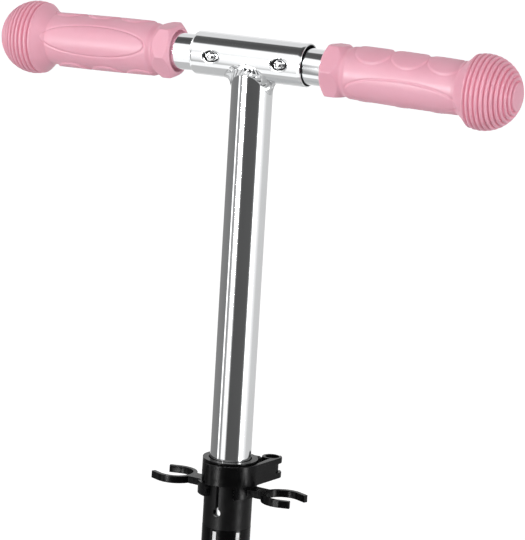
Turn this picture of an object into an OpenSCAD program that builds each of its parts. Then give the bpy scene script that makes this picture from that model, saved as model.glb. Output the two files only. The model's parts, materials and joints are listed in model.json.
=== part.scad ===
// Two-wheel folding kick scooter with a telescopic, quick-release T-bar.
// Units are millimetres. +Z is up, -Y is forward and +X is the rider's left.
// The origin lies on the ground, under the middle of the scooter's bounding box.

/* [Handlebar] */
// Distance from the ground to the handlebar axis, measured along the column
bar_height = 862; // [800:1:900]
// Width of the handlebar over both ball ends
bar_w = 345; // [310:1:390]
// Diameter of the ball end of a grip
ball_d = 45; // [40:0.5:50]
// Diameter of the grip's barrel
grip_d = 32; // [29:0.2:35]
// Length of polished handle tube that shows between the sleeve and a grip
handle_show = 12.8; // [8:0.1:20]
// Length of the grip's six-sided inner collar
grip_collar_len = 13; // [12:0.5:20]
// Width of the collar across its six flats
grip_collar_af = 30.5; // [29:0.1:34]
// Size of the chamfer round the collar's inner end
grip_collar_chamfer = 1.8; // [0.5:0.1:3]
// Length of the cone from the collar's corners down to the waist
grip_cone_len = 4.4; // [3:0.1:5]
// Diameter of the grip's waist between its collar and its barrel
grip_waist_d = 29.2; // [26:0.1:31]
// Number of raised rings round a ball end
ball_rings = 11; // [4:1:14]
// Depth of the groove between two rings
ring_groove = 0.9; // [0.3:0.1:1.5]
// Radius of the smooth disc at the tip of a ball end
ball_disc_r = 10; // [6:0.5:13]
// Outer diameter of a handle tube
handle_d = 22.2; // [19:0.1:24]
// Wall thickness of a handle tube
handle_wall = 1.6; // [1:0.1:2.5]
// Gap between the inner ends of the two handle tubes
handle_gap = 6; // [3:0.5:12]
// Wall thickness of the T-bar sleeve that holds the handle tubes
sleeve_wall = 1.7; // [1.5:0.1:3]
// Radial room of a handle tube in the sleeve, in which its outer end hangs a little
sleeve_room = 0.4; // [0.1:0.05:0.5]
// Length of the T-bar sleeve
sleeve_len = 74; // [66:0.5:86]

/* [Snap buttons] */
// Distance from the sleeve's end to the middle of a snap button
button_inset = 14.4; // [11:0.2:18]
// Diameter of a snap button
button_d = 5.2; // [4:0.1:6]
// Height of the button's dome above the sleeve
button_proud = 1.1; // [0.6:0.1:2]
// Diameter of the foot that keeps a button in its tube
button_foot_d = 8; // [7:0.2:9]
// Thickness of the button's foot
button_foot_t = 1.2; // [0.8:0.1:2]

/* [Column] */
// Backward lean of the steering column in degrees
rake = 7.5; // [4:0.25:12]
// Outer diameter of the sliding upper tube
column_d = 25.4; // [22:0.1:26]
// Wall thickness of the upper tube
column_wall = 1.8; // [1.2:0.1:2.5]
// Distance from the handlebar axis to the top of the outer tube, fully raised
column_out = 247.7; // [200:0.1:260]
// Length of upper tube that stays inside the outer tube when fully raised
column_in = 95; // [80:1:110]
// Outer diameter of the fixed outer tube
outer_d = 30; // [28.5:0.1:34]
// Radial room between the upper tube and the outer tube's bore
column_room = 0.4; // [0.3:0.05:0.8]
// Height of the nylon guide on the foot of the upper tube
guide_h = 6; // [4:0.5:10]
// Reach of the weld bead out from the T joint
weld_w = 3; // [1.5:0.1:3.5]
// Width of the clamping slit at the top of the outer tube
slit_w = 2; // [1:0.1:3]
// Length of the slit down to the middle of its end hole
slit_len = 31.3; // [28:0.1:45]
// Diameter of the hole that ends the slit
slit_hole_d = 5.2; // [3:0.1:7]

/* [Height clamp] */
// Height of the clamp collar
collar_h = 14.3; // [13.5:0.1:24]
// Wall thickness of the clamp collar
collar_wall = 2; // [1.5:0.1:3]
// Height that the collar's rim stands above the outer tube
collar_lip = 1; // [0.5:0.1:2]
// Width of the collar's split between its two ears
split_w = 2.5; // [1.5:0.1:4]
// Thickness of one ear
ear_t = 6.9; // [5:0.1:9]
// Radius of an ear's rounded end
ear_r = 5; // [4:0.1:6]
// Distance of the clamp bolt behind the column axis
clamp_bolt_y = 23; // [21.5:0.1:26]
// Diameter of the clamp bolt
clamp_bolt_d = 5; // [4:0.1:6]
// Diameter of the barrel nut on which the clamp lever turns
clamp_pin_d = 8.4; // [7.5:0.1:8.8]
// How far the barrel nut's ends lie inside the lever's eyes
clamp_pin_in = 1.8; // [0.2:0.1:2.4]
// Height of the notch between the lever's two eyes
clamp_notch_h = 5.6; // [5.2:0.1:6.5]
// Radius of the lever's cam
clamp_cam_r = 5.7; // [5.2:0.1:6.5]
// Offset of the cam from its pivot
clamp_cam_e = 0.7; // [0.3:0.1:1]
// Height of the clamp lever
clamp_lever_h = 13; // [11:0.5:14]
// Thickness of the lever's curved arm
clamp_lever_t = 2.6; // [2:0.1:4]
// Angle by which the lever's tip passes the front of the column
clamp_lever_wrap = 21; // [0:1:40]
// Thickness of the dished washer under the cam
clamp_washer_t = 2.6; // [1.5:0.1:3.5]
// Width of the clamp nut across its flats
clamp_nut_af = 9.2; // [8:0.1:10]
// Thickness of the clamp nut
clamp_nut_t = 4.5; // [3:0.1:6]

/* [Handle clips] */
// Height of the clip ring's band
clip_band_h = 7.8; // [6:0.1:12]
// Wall thickness of the clip ring's band
clip_band_t = 2.5; // [1.8:0.1:3.5]
// Height of the two hooks
clip_hook_h = 4.5; // [3.5:0.1:6]
// Thickness of a hook's arms
clip_arm_t = 2.6; // [2:0.1:3.5]
// How far a hook's inner radius is smaller than a handle tube's
clip_grip = 0.1; // [0:0.05:0.3]
// Length of the web between the band and a hook
clip_web = 8.4; // [3:0.1:12]
// Angle from a hook's middle line at which its arc runs on into straight lips
clip_mouth = 70; // [60:1:80]
// Length of the straight lip on each arm
clip_lip = 6.8; // [4:0.1:9]
// Angle by which the clip ring is turned on its tube, left hook forwards
clip_turn = 6; // [0:1:12]
// Angle over which the band's end is thickened
clip_lug_turn = 32; // [20:1:40]
// Extra thickness of the band's end
clip_lug_t = 1.8; // [1:0.1:2.5]
// Angle from the front at which the band begins, on the rider's left
band_start = 38; // [25:1:60]
// Angle from the front at which the band ends, on the rider's right
band_end = 22; // [15:1:60]

/* [Steering] */
// Length of the head tube
head_len = 82; // [65:1:95]
// Outer diameter of the head tube
head_d = 38; // [36:0.5:42]
// Wall thickness of the head tube
head_wall = 3.5; // [2.5:0.1:4]
// Outer diameter of the fork's steerer
steerer_d = 25.4; // [22:0.1:26]
// Wall thickness of the steerer
steerer_wall = 2.6; // [2:0.1:3.5]
// Length of steerer inside the outer tube
steerer_in = 46; // [30:1:60]
// Height of a headset cup's rim
cup_h = 5.7; // [4.5:0.1:8]
// Depth of a cup's spigot in the head tube
cup_spigot = 8; // [5:0.5:12]
// Diameter of the headset's cups
cup_d = 40; // [38:0.5:44]
// Height of a headset bearing
bearing_h = 3.9; // [3:0.1:5]
// Outer radius of a headset bearing
bearing_r = 18; // [16.8:0.1:18.4]
// Radius of the race that runs inside a headset bearing
race_r = 14.5; // [13.9:0.1:15.2]
// Thickness of the race's flange on the fork crown
race_flange = 4.6; // [3:0.1:6]
// Height of the adjusting cone's knurled rim
cone_h = 6; // [4:0.1:9]
// Thickness of the lock washer
lock_washer_t = 1.5; // [1:0.1:2.5]
// Thickness of the lock nut
lock_nut_t = 7; // [5:0.1:9]
// Width of the lock nut across its flats
lock_nut_af = 36; // [33:0.5:40]
// Forward offset of the front axle from the steering axis
fork_offset = 6; // [2:0.5:8]
// Gap between the tyre and the fork crown
crown_gap = 7; // [5:0.5:12]
// Thickness of the fork crown
crown_t = 12; // [9:0.5:16]
// Depth of the fork crown from front to back
crown_w = 30; // [27:0.5:36]
// Distance between the fork's two legs
fork_inside = 32; // [30:0.5:36]
// Thickness of a fork leg
leg_t = 5; // [4:0.1:7]
// Width of a fork leg at the crown
leg_w = 27; // [22:0.5:30]
// Radius of a fork leg's rounded end
leg_end_r = 12; // [10:0.5:14]

/* [Wheels] */
// Outer diameter of a wheel
wheel_d = 120; // [110:1:130]
// Width of a tyre
tyre_w = 24; // [22:0.5:26]
// Diameter of the wheel's core, where the tyre is bonded
core_d = 78; // [66:1:88]
// Thickness of the core's rim
core_rim = 5; // [3:0.5:7]
// Number of spokes in the core
spokes = 5; // [3:1:8]
// Width of a spoke
spoke_w = 11; // [6:0.5:14]
// Thickness of the spokes along the axle
spoke_t = 14; // [10:0.5:18]
// Diameter of the core's middle boss
boss_d = 29; // [26.5:0.5:34]
// Outer diameter of a wheel bearing
wheel_bearing_d = 22; // [19:0.5:24]
// Width of a wheel bearing
wheel_bearing_w = 7; // [5:0.5:8]
// Diameter of the axles
axle_d = 8; // [6:0.5:9]
// Wall thickness of the spacers on an axle
spacer_wall = 2.2; // [1.5:0.1:3]
// Width of an axle nut across its flats
axle_nut_af = 13; // [12:0.5:15]
// Thickness of an axle nut
axle_nut_t = 7; // [5:0.1:9]
// Height of an axle bolt's head
axle_head_t = 5; // [4:0.1:7]

/* [Deck] */
// Gap between the front tyre and the deck
deck_gap = 20; // [16:0.5:30]
// Length of the deck
deck_len = 388; // [330:1:440]
// Width of the deck
deck_w = 102; // [90:1:120]
// Thickness of the deck
deck_t = 20; // [16:0.5:26]
// Height of the deck's underside above the ground
deck_clear = 60; // [54:0.5:70]
// Wall thickness of the deck extrusion
deck_wall = 2.4; // [2:0.1:3.5]
// Radius of the deck's long edges
deck_edge_r = 5; // [3:0.5:8]
// Radius of the deck's front corners
deck_corner_r = 16; // [8:0.5:24]
// Thickness of the grip tape
tape_t = 0.9; // [0.5:0.1:1.5]
// Width of the bare border along each side of the grip tape
tape_border = 9; // [6:0.5:14]
// Corner radius of the grip tape
tape_r = 8; // [3:0.5:14]
// Depth of the plugs that close the extrusion
plug_depth = 8; // [4:0.5:14]
// Thickness of the deck's front cap
cap_t = 3; // [2:0.1:5]

/* [Folding hinge] */
// Distance of the fold pivot behind the deck's front end
pivot_in = 24; // [20:0.5:28]
// Height of the fold pivot above the deck
pivot_up = 24; // [22:0.5:30]
// Fold angle in degrees
fold_angle = 80; // [60:1:85]
// Width of the neck between the hinge's cheeks
neck_w = 34; // [30:0.5:38]
// Thickness of a hinge cheek
cheek_t = 4.5; // [3.5:0.1:6]
// Thickness of the hinge's base plate
hinge_base_t = 4; // [3:0.1:5]
// Radius of the neck's knuckle
knuckle_r = 18; // [16:0.5:18.5]
// Diameter of the fold pivot
pivot_d = 8; // [6:0.5:10]
// Wall thickness of the pivot's bushings
bushing_wall = 2; // [1.5:0.1:3]
// Distance of the draw bolt from the fold pivot
draw_r = 30; // [27:0.5:31]
// Diameter of the draw bolt
draw_d = 8; // [6:0.5:9]
// Depth of the detent pockets at the ends of the curved slots
pocket_depth = 1; // [0.5:0.1:2]
// Metal left outside the curved slots
cheek_rim = 5; // [4:0.1:6]
// Length of the hinge's base plate behind the pivot
hinge_tail = 56; // [46:0.5:70]
// Distance below the head tube's top at which the neck's upper edge meets the steering axis
strut_top = 12; // [6:1:20]
// Distance above the head tube's foot at which the neck's lower edge meets the steering axis
strut_low = 25; // [22:1:32]
// Depth of the lightening pockets in the neck
neck_pocket = 10; // [5:0.5:13]
// Diameter of the hinge screws
screw_d = 6; // [4:0.5:7]
// Height of a hinge screw's head
screw_head_t = 3; // [2:0.1:4]

/* [Fold lever] */
// Thickness of a draw bolt washer
draw_washer_t = 2; // [1.5:0.1:3]
// Diameter of the fold lever's pin
draw_pin_d = 6; // [5:0.1:7]
// Radius of the draw bolt's eye
draw_eye_r = 6; // [5.2:0.1:6.4]
// Height of the draw bolt's eye
draw_eye_h = 8.4; // [7:0.1:10]
// Radius of the fold lever's cam
draw_cam_r = 6.6; // [6.2:0.1:8]
// Offset of the fold lever's cam from its pin
draw_cam_e = 0.8; // [0.3:0.1:1]
// Height of the fold lever
fold_lever_h = 17; // [15:0.5:20]
// Length of the fold lever from its pin to its tip
fold_lever_len = 62; // [50:1:75]
// Thickness of the fold lever's arm
fold_lever_t = 5; // [4:0.1:7]

/* [Rear end] */
// Length of the deck's slot for the rear wheel
slot_len = 44; // [38:0.5:56]
// Gap between the rear tyre and the front of the slot
slot_gap = 10; // [8:0.5:16]
// Width of the deck's slot
slot_w = 46; // [45:0.5:50]
// Thickness of a rear fork plate
rear_plate_t = 5; // [4:0.1:5.5]
// Radius of a rear fork plate's rounded end
rear_end_r = 13; // [11:0.5:15]
// Gap between the rear tyre and the fender
fender_gap = 6; // [5:0.1:9]
// Thickness of the fender's sheet
fender_t = 2; // [1.5:0.1:3]
// Room between the tyre's side and the fender's skirt
skirt_room = 3; // [2.5:0.1:3.5]
// Depth of the fender's side skirts
skirt_h = 10; // [6:0.5:14]
// Angle above level at which the fender ends behind the wheel
fender_tail = 36; // [30:1:60]
// Length of the fender's raised tail
tail_len = 16; // [8:0.5:24]
// Downward slope of the tail in degrees
tail_drop = 10; // [0:1:25]
// Height of the brake's pivot above the deck
brake_up = 9; // [8:0.5:12]
// Distance of the brake's pivot ahead of the slot
brake_in = 7; // [6:0.5:9]
// Diameter of the brake's pin
brake_pin_d = 5; // [4:0.1:6]
// Thickness of the brake bracket's sheet
brake_ear_t = 2.5; // [2:0.1:3.5]
// Radius of the brake bracket's ears
brake_ear_r = 6.5; // [5:0.1:8]
// Wire diameter of the brake's return spring
spring_wire = 1.6; // [1:0.1:2]
// Number of turns on each side of the return spring
spring_turns = 4; // [2:1:5]

/* [Fits] */
// Radial clearance where a part turns or slides on another
running = 0.06; // [0.03:0.01:0.09]
// Radial clearance where two fixed parts fit together
seat = 0.02; // [0.01:0.01:0.05]
// Gap between parts that move past each other
gap = 0.3; // [0.25:0.05:0.5]

/* [Hidden] */
$fn = 64;
eps = 0.01;

pink = [0.93, 0.62, 0.70];
black = [0.08, 0.08, 0.09];
dark = [0.16, 0.16, 0.17];
silver = [0.80, 0.81, 0.83];
zinc = [0.62, 0.63, 0.65];

// Wheels
wheel_r = wheel_d / 2;
axle_r = axle_d / 2;
bearing_in = tyre_w / 2 - wheel_bearing_w;

// Steering axis: it meets the ground at foot_y, and stations along it are distances from there
axle_s = (wheel_r - fork_offset * sin(rake)) / cos(rake);
foot_y = fork_offset * cos(rake) - axle_s * sin(rake);
crown_s = axle_s + wheel_r + crown_gap;
race_s = crown_s + crown_t;
head_s = race_s + race_flange + gap + cup_h;
head_top = head_s + head_len;
cone_s = head_top + cup_h + gap;
washer_s = cone_s + cone_h;
nut_s = washer_s + lock_washer_t;
outer_s = nut_s + lock_nut_t;
outer_top = bar_height - column_out;
steerer_top = outer_s + steerer_in;
column_foot = outer_top - column_in;

// Radii of the telescopic column
column_r = column_d / 2;
outer_r = outer_d / 2;
outer_bore = column_r + column_room;
steerer_r = steerer_d / 2;
handle_r = handle_d / 2;
sleeve_bore = handle_r + sleeve_room;
hang_x = (sleeve_len + handle_gap) / 4;
handle_hang = atan((sleeve_room - seat) / (sleeve_len / 2 - hang_x));
sleeve_r = sleeve_bore + sleeve_wall;
grip_r = grip_d / 2;
ball_r = ball_d / 2;
ball_x = bar_w / 2 - ball_r;
grip_start = sleeve_len / 2 + handle_show;
button_x = sleeve_len / 2 - button_inset;

// Height clamp
collar_r = outer_r + seat + collar_wall;
collar_top = outer_top + collar_lip;
collar_s = collar_top - collar_h;
lever_s = collar_s;
clamp_mid = lever_s + clamp_lever_h / 2;
ear_x = split_w / 2 + ear_t;
clamp_washer_x = ear_x + clamp_washer_t;
clamp_pin_x = clamp_washer_x + gap + clamp_cam_r + clamp_cam_e;
lever_in_r = collar_r + gap + 0.1;
lever_out_r = lever_in_r + clamp_lever_t;

lever_tip_turn = -90 - clamp_lever_wrap;

// Handle clips
clip_s = lever_s - gap - clip_band_h;
band_turns = [band_start - 90, 270 - band_end];
lug_turns = [band_turns[1] - clip_lug_turn, band_turns[1] - 1];
clip_r = outer_r + seat + clip_band_t;
hook_r = handle_r - clip_grip;
hook_x = clip_r + clip_web + clip_arm_t + hook_r;
hook_s = clip_s + (clip_band_h - clip_hook_h) / 2;

// Deck and folding hinge
deck_y = wheel_r + deck_gap;
deck_end = deck_y + deck_len;
deck_top = deck_clear + deck_t;
pivot_y = deck_y + pivot_in;
pivot_z = deck_top + pivot_up;
pivot_r = pivot_d / 2;
cheek_x = neck_w / 2 + gap;
cheek_out = cheek_x + cheek_t;
hinge_base = deck_top + hinge_base_t;
slot_half = draw_d / 2 + gap;
cheek_r = draw_r + slot_half + pocket_depth + cheek_rim;
neck_mid_s = head_s + head_len / 2;
neck_mid_y = foot_y + neck_mid_s * sin(rake);
neck_mid_z = neck_mid_s * cos(rake);
draw_angle = atan2(neck_mid_z - pivot_z, neck_mid_y - pivot_y);
draw_y = pivot_y + draw_r * cos(draw_angle);
draw_z = pivot_z + draw_r * sin(draw_angle);
draw_washer_x = cheek_out + gap + draw_washer_t;
draw_pin_x = draw_washer_x + gap + draw_cam_r + draw_cam_e;

// Rear end
slot_y = deck_end - slot_len;
rear_y = slot_y + slot_gap + wheel_r;
rib_x = slot_w / 2;
plate_in = rib_x - seat - rear_plate_t;
skirt_in = tyre_w / 2 + skirt_room;
skirt_out = skirt_in + fender_t;
brake_y = slot_y - brake_in;
brake_z = deck_top + brake_up;
fender_in = wheel_r + fender_gap;
fender_out = fender_in + fender_t;
tail_y = rear_y + fender_in * cos(fender_tail) + tail_len * cos(tail_drop) + fender_t * sin(tail_drop);
screw_ys = [pivot_y + knuckle_r + 12, pivot_y + hinge_tail - 10];
screw_x = neck_w / 2 - 7;

// The whole scooter is centred between its foremost and rearmost points
rearmost = max(rear_y + wheel_r, tail_y);
centre_y = (rearmost - wheel_r) / 2;

// ---- Frames ----

module place() {
    translate([0, -centre_y, 0])
        children();
}

module on_column() {
    place()
        translate([0, foot_y, 0])
            rotate([-rake, 0, 0])
                children();
}

// The handlebar's own frame: its axis is X and -Y is the column's front
module on_bar() {
    on_column()
        translate([0, 0, bar_height])
            children();
}

// The draw bolt's own frame: the bolt runs along X and the neck rises along -Y
module on_draw_bolt() {
    place()
        translate([0, draw_y, draw_z])
            rotate([draw_angle - 180, 0, 0])
                children();
}

// ---- Shared shapes ----

module rod_x(r, x0, x1) {
    translate([x0, 0, 0])
        rotate([0, 90, 0])
            cylinder(r = r, h = x1 - x0);
}

module ring_x(r_out, r_in, x0, x1) {
    difference() {
        rod_x(r_out, x0, x1);
        rod_x(r_in, x0 - 1, x1 + 1);
    }
}

module ring_z(r_out, r_in, z0, z1) {
    translate([0, 0, z0])
        difference() {
            cylinder(r = r_out, h = z1 - z0);
            translate([0, 0, -1])
                cylinder(r = r_in, h = z1 - z0 + 2);
        }
}

// A flat outline in the Y-Z plane, thickened from x0 to x1
module plate_x(x0, x1) {
    translate([x0, 0, 0])
        rotate([90, 0, 90])
            linear_extrude(height = x1 - x0)
                children();
}

// A flat outline in the X-Z plane, drawn out from y0 to y1
module bar_y(y0, y1) {
    translate([0, y1, 0])
        rotate([90, 0, 0])
            linear_extrude(height = y1 - y0)
                children();
}

module rounded_rect(x0, x1, y0, y1, r) {
    translate([x0 + r, y0])
        square([x1 - x0 - 2 * r, y1 - y0]);
    translate([x0, y0 + r])
        square([x1 - x0, y1 - y0 - 2 * r]);
    for (x = [x0 + r, x1 - r], y = [y0 + r, y1 - r])
        translate([x, y])
            circle(r = r);
}

// A pie slice from angle a0 to a1, to be met with a ring
module slice(r, a0, a1) {
    steps = max(1, ceil((a1 - a0) / 30));
    reach = r / cos((a1 - a0) / steps / 2);
    rim = [for (i = [0 : steps]) let (a = a0 + (a1 - a0) * i / steps) reach * [cos(a), sin(a)]];
    polygon(concat([[0, 0]], rim));
}

module arc_band(r_out, r_in, a0, a1) {
    intersection() {
        difference() {
            circle(r = r_out);
            circle(r = r_in);
        }
        slice(r_out + 1, a0, a1);
    }
}

module hex_x(af, x0, x1) {
    translate([x0, 0, 0])
        rotate([0, 90, 0])
            cylinder(r = af / 2 / cos(30), h = x1 - x0, $fn = 6);
}

// A plain washer or nut round a shaft of radius r
module nut_x(af, r, x0, x1) {
    difference() {
        hex_x(af, x0, x1);
        rod_x(r + seat, x0 - 1, x1 + 1);
    }
}

// A bolt with a round head on the rider's right
module axle_bolt(x_head, x_end) {
    rod_x(axle_r, -x_head - eps, x_end);
    rod_x(axle_nut_af / 2, -x_head - axle_head_t, -x_head);
}

// ---- Wheels, drawn at the origin with the axle along X ----

function tread(y) = wheel_r - 5 * pow(abs(y) / (tyre_w / 2), 2.6);

module tyre_shape() {
    half = tyre_w / 2;
    steps = 12;
    shoulder = [for (i = [0 : steps]) let (y = half * (2 * i / steps - 1)) [tread(y), y]];
    rotate([0, 90, 0])
        rotate_extrude($fn = 96)
            polygon(concat([[core_d / 2, -half + 1]], [[core_d / 2 + 4, -half]], shoulder,
                [[core_d / 2 + 4, half]], [[core_d / 2, half - 1]]));
}

module hub_shape() {
    rim_half = tyre_w / 2 - 1;
    difference() {
        union() {
            ring_x(core_d / 2 - seat, core_d / 2 - core_rim, -rim_half, rim_half);
            rod_x(boss_d / 2, -tyre_w / 2, tyre_w / 2);
            for (i = [0 : spokes - 1])
                rotate([i * 360 / spokes, 0, 0])
                    translate([-spoke_t / 2, -spoke_w / 2, 0])
                        cube([spoke_t, spoke_w, core_d / 2 - core_rim / 2]);
        }
        for (side = [-1, 1])
            rod_x(wheel_bearing_d / 2 + seat, side > 0 ? bearing_in : -tyre_w,
                side > 0 ? tyre_w : -bearing_in);
        rod_x(wheel_bearing_d / 2 - 1.5, -tyre_w, tyre_w);
    }
}

// Two sealed bearings, each with a recess between its races
module bearings_shape() {
    for (side = [-1, 1])
        difference() {
            ring_x(wheel_bearing_d / 2, axle_r + running, side > 0 ? bearing_in : -tyre_w / 2,
                side > 0 ? tyre_w / 2 : -bearing_in);
            translate([side * tyre_w / 2, 0, 0])
                ring_x(wheel_bearing_d / 2 - 2, axle_r + 2, -0.5, 0.5);
        }
}

// The spacer between the bearings and the two outside them
module spacers_shape(inside) {
    ring_x(axle_r + spacer_wall - 0.5, axle_r + seat, gap - bearing_in, bearing_in - gap);
    for (side = [-1, 1])
        ring_x(axle_r + spacer_wall, axle_r + seat, side > 0 ? tyre_w / 2 + gap : -inside,
            side > 0 ? inside : -tyre_w / 2 - gap);
}

module at_front_axle() {
    place()
        translate([0, 0, wheel_r])
            children();
}

module at_rear_axle() {
    place()
        translate([0, rear_y, wheel_r])
            children();
}

module front_tyre() {
    color(pink)
        at_front_axle()
            tyre_shape();
}

module front_hub() {
    color(black)
        at_front_axle()
            hub_shape();
}

module front_bearings() {
    color(zinc)
        at_front_axle()
            bearings_shape();
}

module front_spacers() {
    color(zinc)
        at_front_axle()
            spacers_shape(fork_inside / 2);
}

module front_axle() {
    reach = fork_inside / 2 + leg_t;
    color(zinc)
        at_front_axle()
            axle_bolt(reach, reach + axle_nut_t + 1);
}

module front_axle_nut() {
    reach = fork_inside / 2 + leg_t;
    color(zinc)
        at_front_axle()
            nut_x(axle_nut_af, axle_r, reach, reach + axle_nut_t);
}

module rear_tyre() {
    color(pink)
        at_rear_axle()
            tyre_shape();
}

module rear_hub() {
    color(black)
        at_rear_axle()
            hub_shape();
}

module rear_bearings() {
    color(zinc)
        at_rear_axle()
            bearings_shape();
}

module rear_spacers() {
    color(zinc)
        at_rear_axle()
            spacers_shape(plate_in);
}

module rear_axle() {
    reach = plate_in + rear_plate_t;
    color(zinc)
        at_rear_axle()
            axle_bolt(reach, reach + axle_nut_t + 1);
}

module rear_axle_nut() {
    reach = plate_in + rear_plate_t;
    color(zinc)
        at_rear_axle()
            nut_x(axle_nut_af, axle_r, reach, reach + axle_nut_t);
}

// ---- Fork and headset, in the column's frame ----

module leg_outline() {
    translate([-fork_offset, axle_s])
        circle(r = leg_end_r);
    polygon([
        [-leg_w / 2, crown_s + crown_t / 2], [-fork_offset - leg_end_r, axle_s],
        [-fork_offset + leg_end_r, axle_s], [leg_w / 2, crown_s + crown_t / 2]
    ]);
}

module fork() {
    leg_out = fork_inside / 2 + leg_t;
    color(black)
        on_column()
            difference() {
                union() {
                    for (side = [-1, 1])
                        plate_x(side > 0 ? fork_inside / 2 : -leg_out, side > 0 ? leg_out : -fork_inside / 2)
                            leg_outline();
                    translate([0, 0, crown_s])
                        linear_extrude(height = crown_t)
                            rounded_rect(-leg_out, leg_out, -crown_w / 2, crown_w / 2, 6);
                }
                translate([0, 0, crown_s - 1])
                    cylinder(r = steerer_r + seat, h = crown_t + 2);
                translate([0, -fork_offset, axle_s])
                    rod_x(axle_r + seat, -leg_out - 1, leg_out + 1);
            }
}

module steerer() {
    color(zinc)
        on_column()
            ring_z(steerer_r, steerer_r - steerer_wall, crown_s, steerer_top);
}

module crown_race() {
    color(zinc)
        on_column() {
            ring_z(cup_d / 2 - 0.5, steerer_r + seat, race_s, race_s + race_flange);
            ring_z(race_r, steerer_r + seat, race_s + race_flange - eps, head_s - gap);
        }
}

// A cup with its rim at z = 0 and its spigot rising along +Z
module cup_shape() {
    pocket = bearing_h + gap;
    difference() {
        union() {
            translate([0, 0, -cup_h])
                cylinder(r = cup_d / 2, h = cup_h);
            cylinder(r = head_d / 2 - head_wall - seat, h = cup_spigot);
        }
        translate([0, 0, -cup_h - 1])
            cylinder(r = race_r + gap, h = cup_h + cup_spigot + 2);
        translate([0, 0, -cup_h - 1])
            cylinder(r = bearing_r + seat, h = pocket + 1);
    }
}

module headset_cups() {
    color(black)
        on_column() {
            translate([0, 0, head_s])
                cup_shape();
            translate([0, 0, head_top])
                mirror([0, 0, 1])
                    cup_shape();
        }
}

module headset_bearings() {
    lower = head_s - cup_h + gap;
    upper = head_top + cup_h - gap;
    color(zinc)
        on_column() {
            ring_z(bearing_r, race_r + running, lower, lower + bearing_h);
            ring_z(bearing_r, race_r + running, upper - bearing_h, upper);
        }
}

// The adjusting cone: a knurled rim with a race below it
module headset_cone() {
    flutes = 24;
    color(black)
        on_column()
            difference() {
                union() {
                    ring_z(race_r, steerer_r + seat, head_top + gap, cone_s + eps);
                    ring_z(cup_d / 2 - 0.5, steerer_r + seat, cone_s, washer_s);
                }
                for (i = [0 : flutes - 1])
                    rotate([0, 0, i * 360 / flutes])
                        translate([cup_d / 2, 0, cone_s + 1.2])
                            cylinder(r = 1.1, h = cone_h);
            }
}

module lock_washer() {
    color(zinc)
        on_column()
            ring_z(lock_nut_af / 2, steerer_r + seat, washer_s, nut_s);
}

module lock_nut() {
    color(black)
        on_column()
            difference() {
                translate([0, 0, nut_s])
                    cylinder(r = lock_nut_af / 2 / cos(30), h = lock_nut_t, $fn = 6);
                translate([0, 0, nut_s - 1])
                    cylinder(r = steerer_r + seat, h = lock_nut_t + 2);
            }
}

module head_tube() {
    color(black)
        on_column()
            ring_z(head_d / 2, head_d / 2 - head_wall, head_s, head_top);
}

// ---- Neck and folding hinge, in the Y-Z plane ----

function axis_point(s) = [foot_y + s * sin(rake), s * cos(rake)];
function from_pivot(r, a) = [pivot_y + r * cos(a), pivot_z + r * sin(a)];

module strut_outline(inset) {
    r = knuckle_r - inset;
    polygon([
        from_pivot(r, draw_angle - 90), axis_point(head_top - strut_top - inset),
        axis_point(head_s + strut_low + inset), from_pivot(r, draw_angle + 90)
    ]);
}

module neck_strut() {
    rim = 5;
    pocket_start = draw_r + draw_d / 2 + 7;
    color(black)
        difference() {
            place()
                plate_x(-neck_w / 2, neck_w / 2) {
                    strut_outline(0);
                    translate([pivot_y, pivot_z])
                        circle(r = knuckle_r);
                }
            // Lightening pockets on both sides
            for (side = [-1, 1])
                place()
                    plate_x(side > 0 ? neck_w / 2 - neck_pocket : -neck_w,
                        side > 0 ? neck_w : neck_pocket - neck_w / 2)
                        difference() {
                            strut_outline(rim);
                            translate([pivot_y, pivot_z])
                                circle(r = pocket_start);
                        }
            on_column()
                translate([0, 0, head_s - 20])
                    cylinder(r = head_d / 2 + seat, h = head_len + 40);
            place()
                translate([0, pivot_y, pivot_z])
                    rod_x(pivot_r + running + bushing_wall + seat, -neck_w, neck_w);
            on_draw_bolt()
                rod_x(draw_d / 2 + seat, -neck_w, neck_w);
        }
}

module pivot_bushings() {
    bush_len = 10;
    color("ivory")
        place()
            translate([0, pivot_y, pivot_z])
                for (side = [-1, 1])
                    ring_x(pivot_r + running + bushing_wall, pivot_r + running,
                        side > 0 ? neck_w / 2 - bush_len : -neck_w / 2,
                        side > 0 ? neck_w / 2 : bush_len - neck_w / 2);
}

// One cheek: a round plate with a curved slot and a detent pocket at each end
module cheek_outline() {
    difference() {
        union() {
            intersection() {
                translate([pivot_y, pivot_z])
                    circle(r = cheek_r);
                translate([pivot_y - cheek_r, deck_top])
                    square([2 * cheek_r, 2 * cheek_r + pivot_up]);
            }
            polygon([
                [pivot_y, deck_top], from_pivot(cheek_r, 35),
                [pivot_y + hinge_tail, hinge_base + 3], [pivot_y + hinge_tail, deck_top]
            ]);
        }
        translate([pivot_y, pivot_z])
            arc_band(draw_r + slot_half, draw_r - slot_half, draw_angle - fold_angle, draw_angle);
        for (a = [draw_angle - fold_angle, draw_angle])
            translate(from_pivot(draw_r, a))
                circle(r = slot_half + pocket_depth);
        translate([pivot_y, pivot_z])
            circle(r = pivot_r + seat);
    }
}

module hinge_bracket() {
    base_y0 = deck_y + 2;
    base_y1 = pivot_y + hinge_tail;
    color(black)
        place()
            difference() {
                union() {
                    for (side = [-1, 1])
                        plate_x(side > 0 ? cheek_x : -cheek_out, side > 0 ? cheek_out : -cheek_x)
                            cheek_outline();
                    translate([-cheek_x - eps, base_y0, deck_top])
                        cube([2 * cheek_x + 2 * eps, base_y1 - base_y0, hinge_base_t]);
                }
                for (x = [-screw_x, screw_x], y = screw_ys)
                    translate([x, y, deck_top - 1])
                        cylinder(r = screw_d / 2 + seat, h = hinge_base_t + 2);
            }
}

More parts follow.
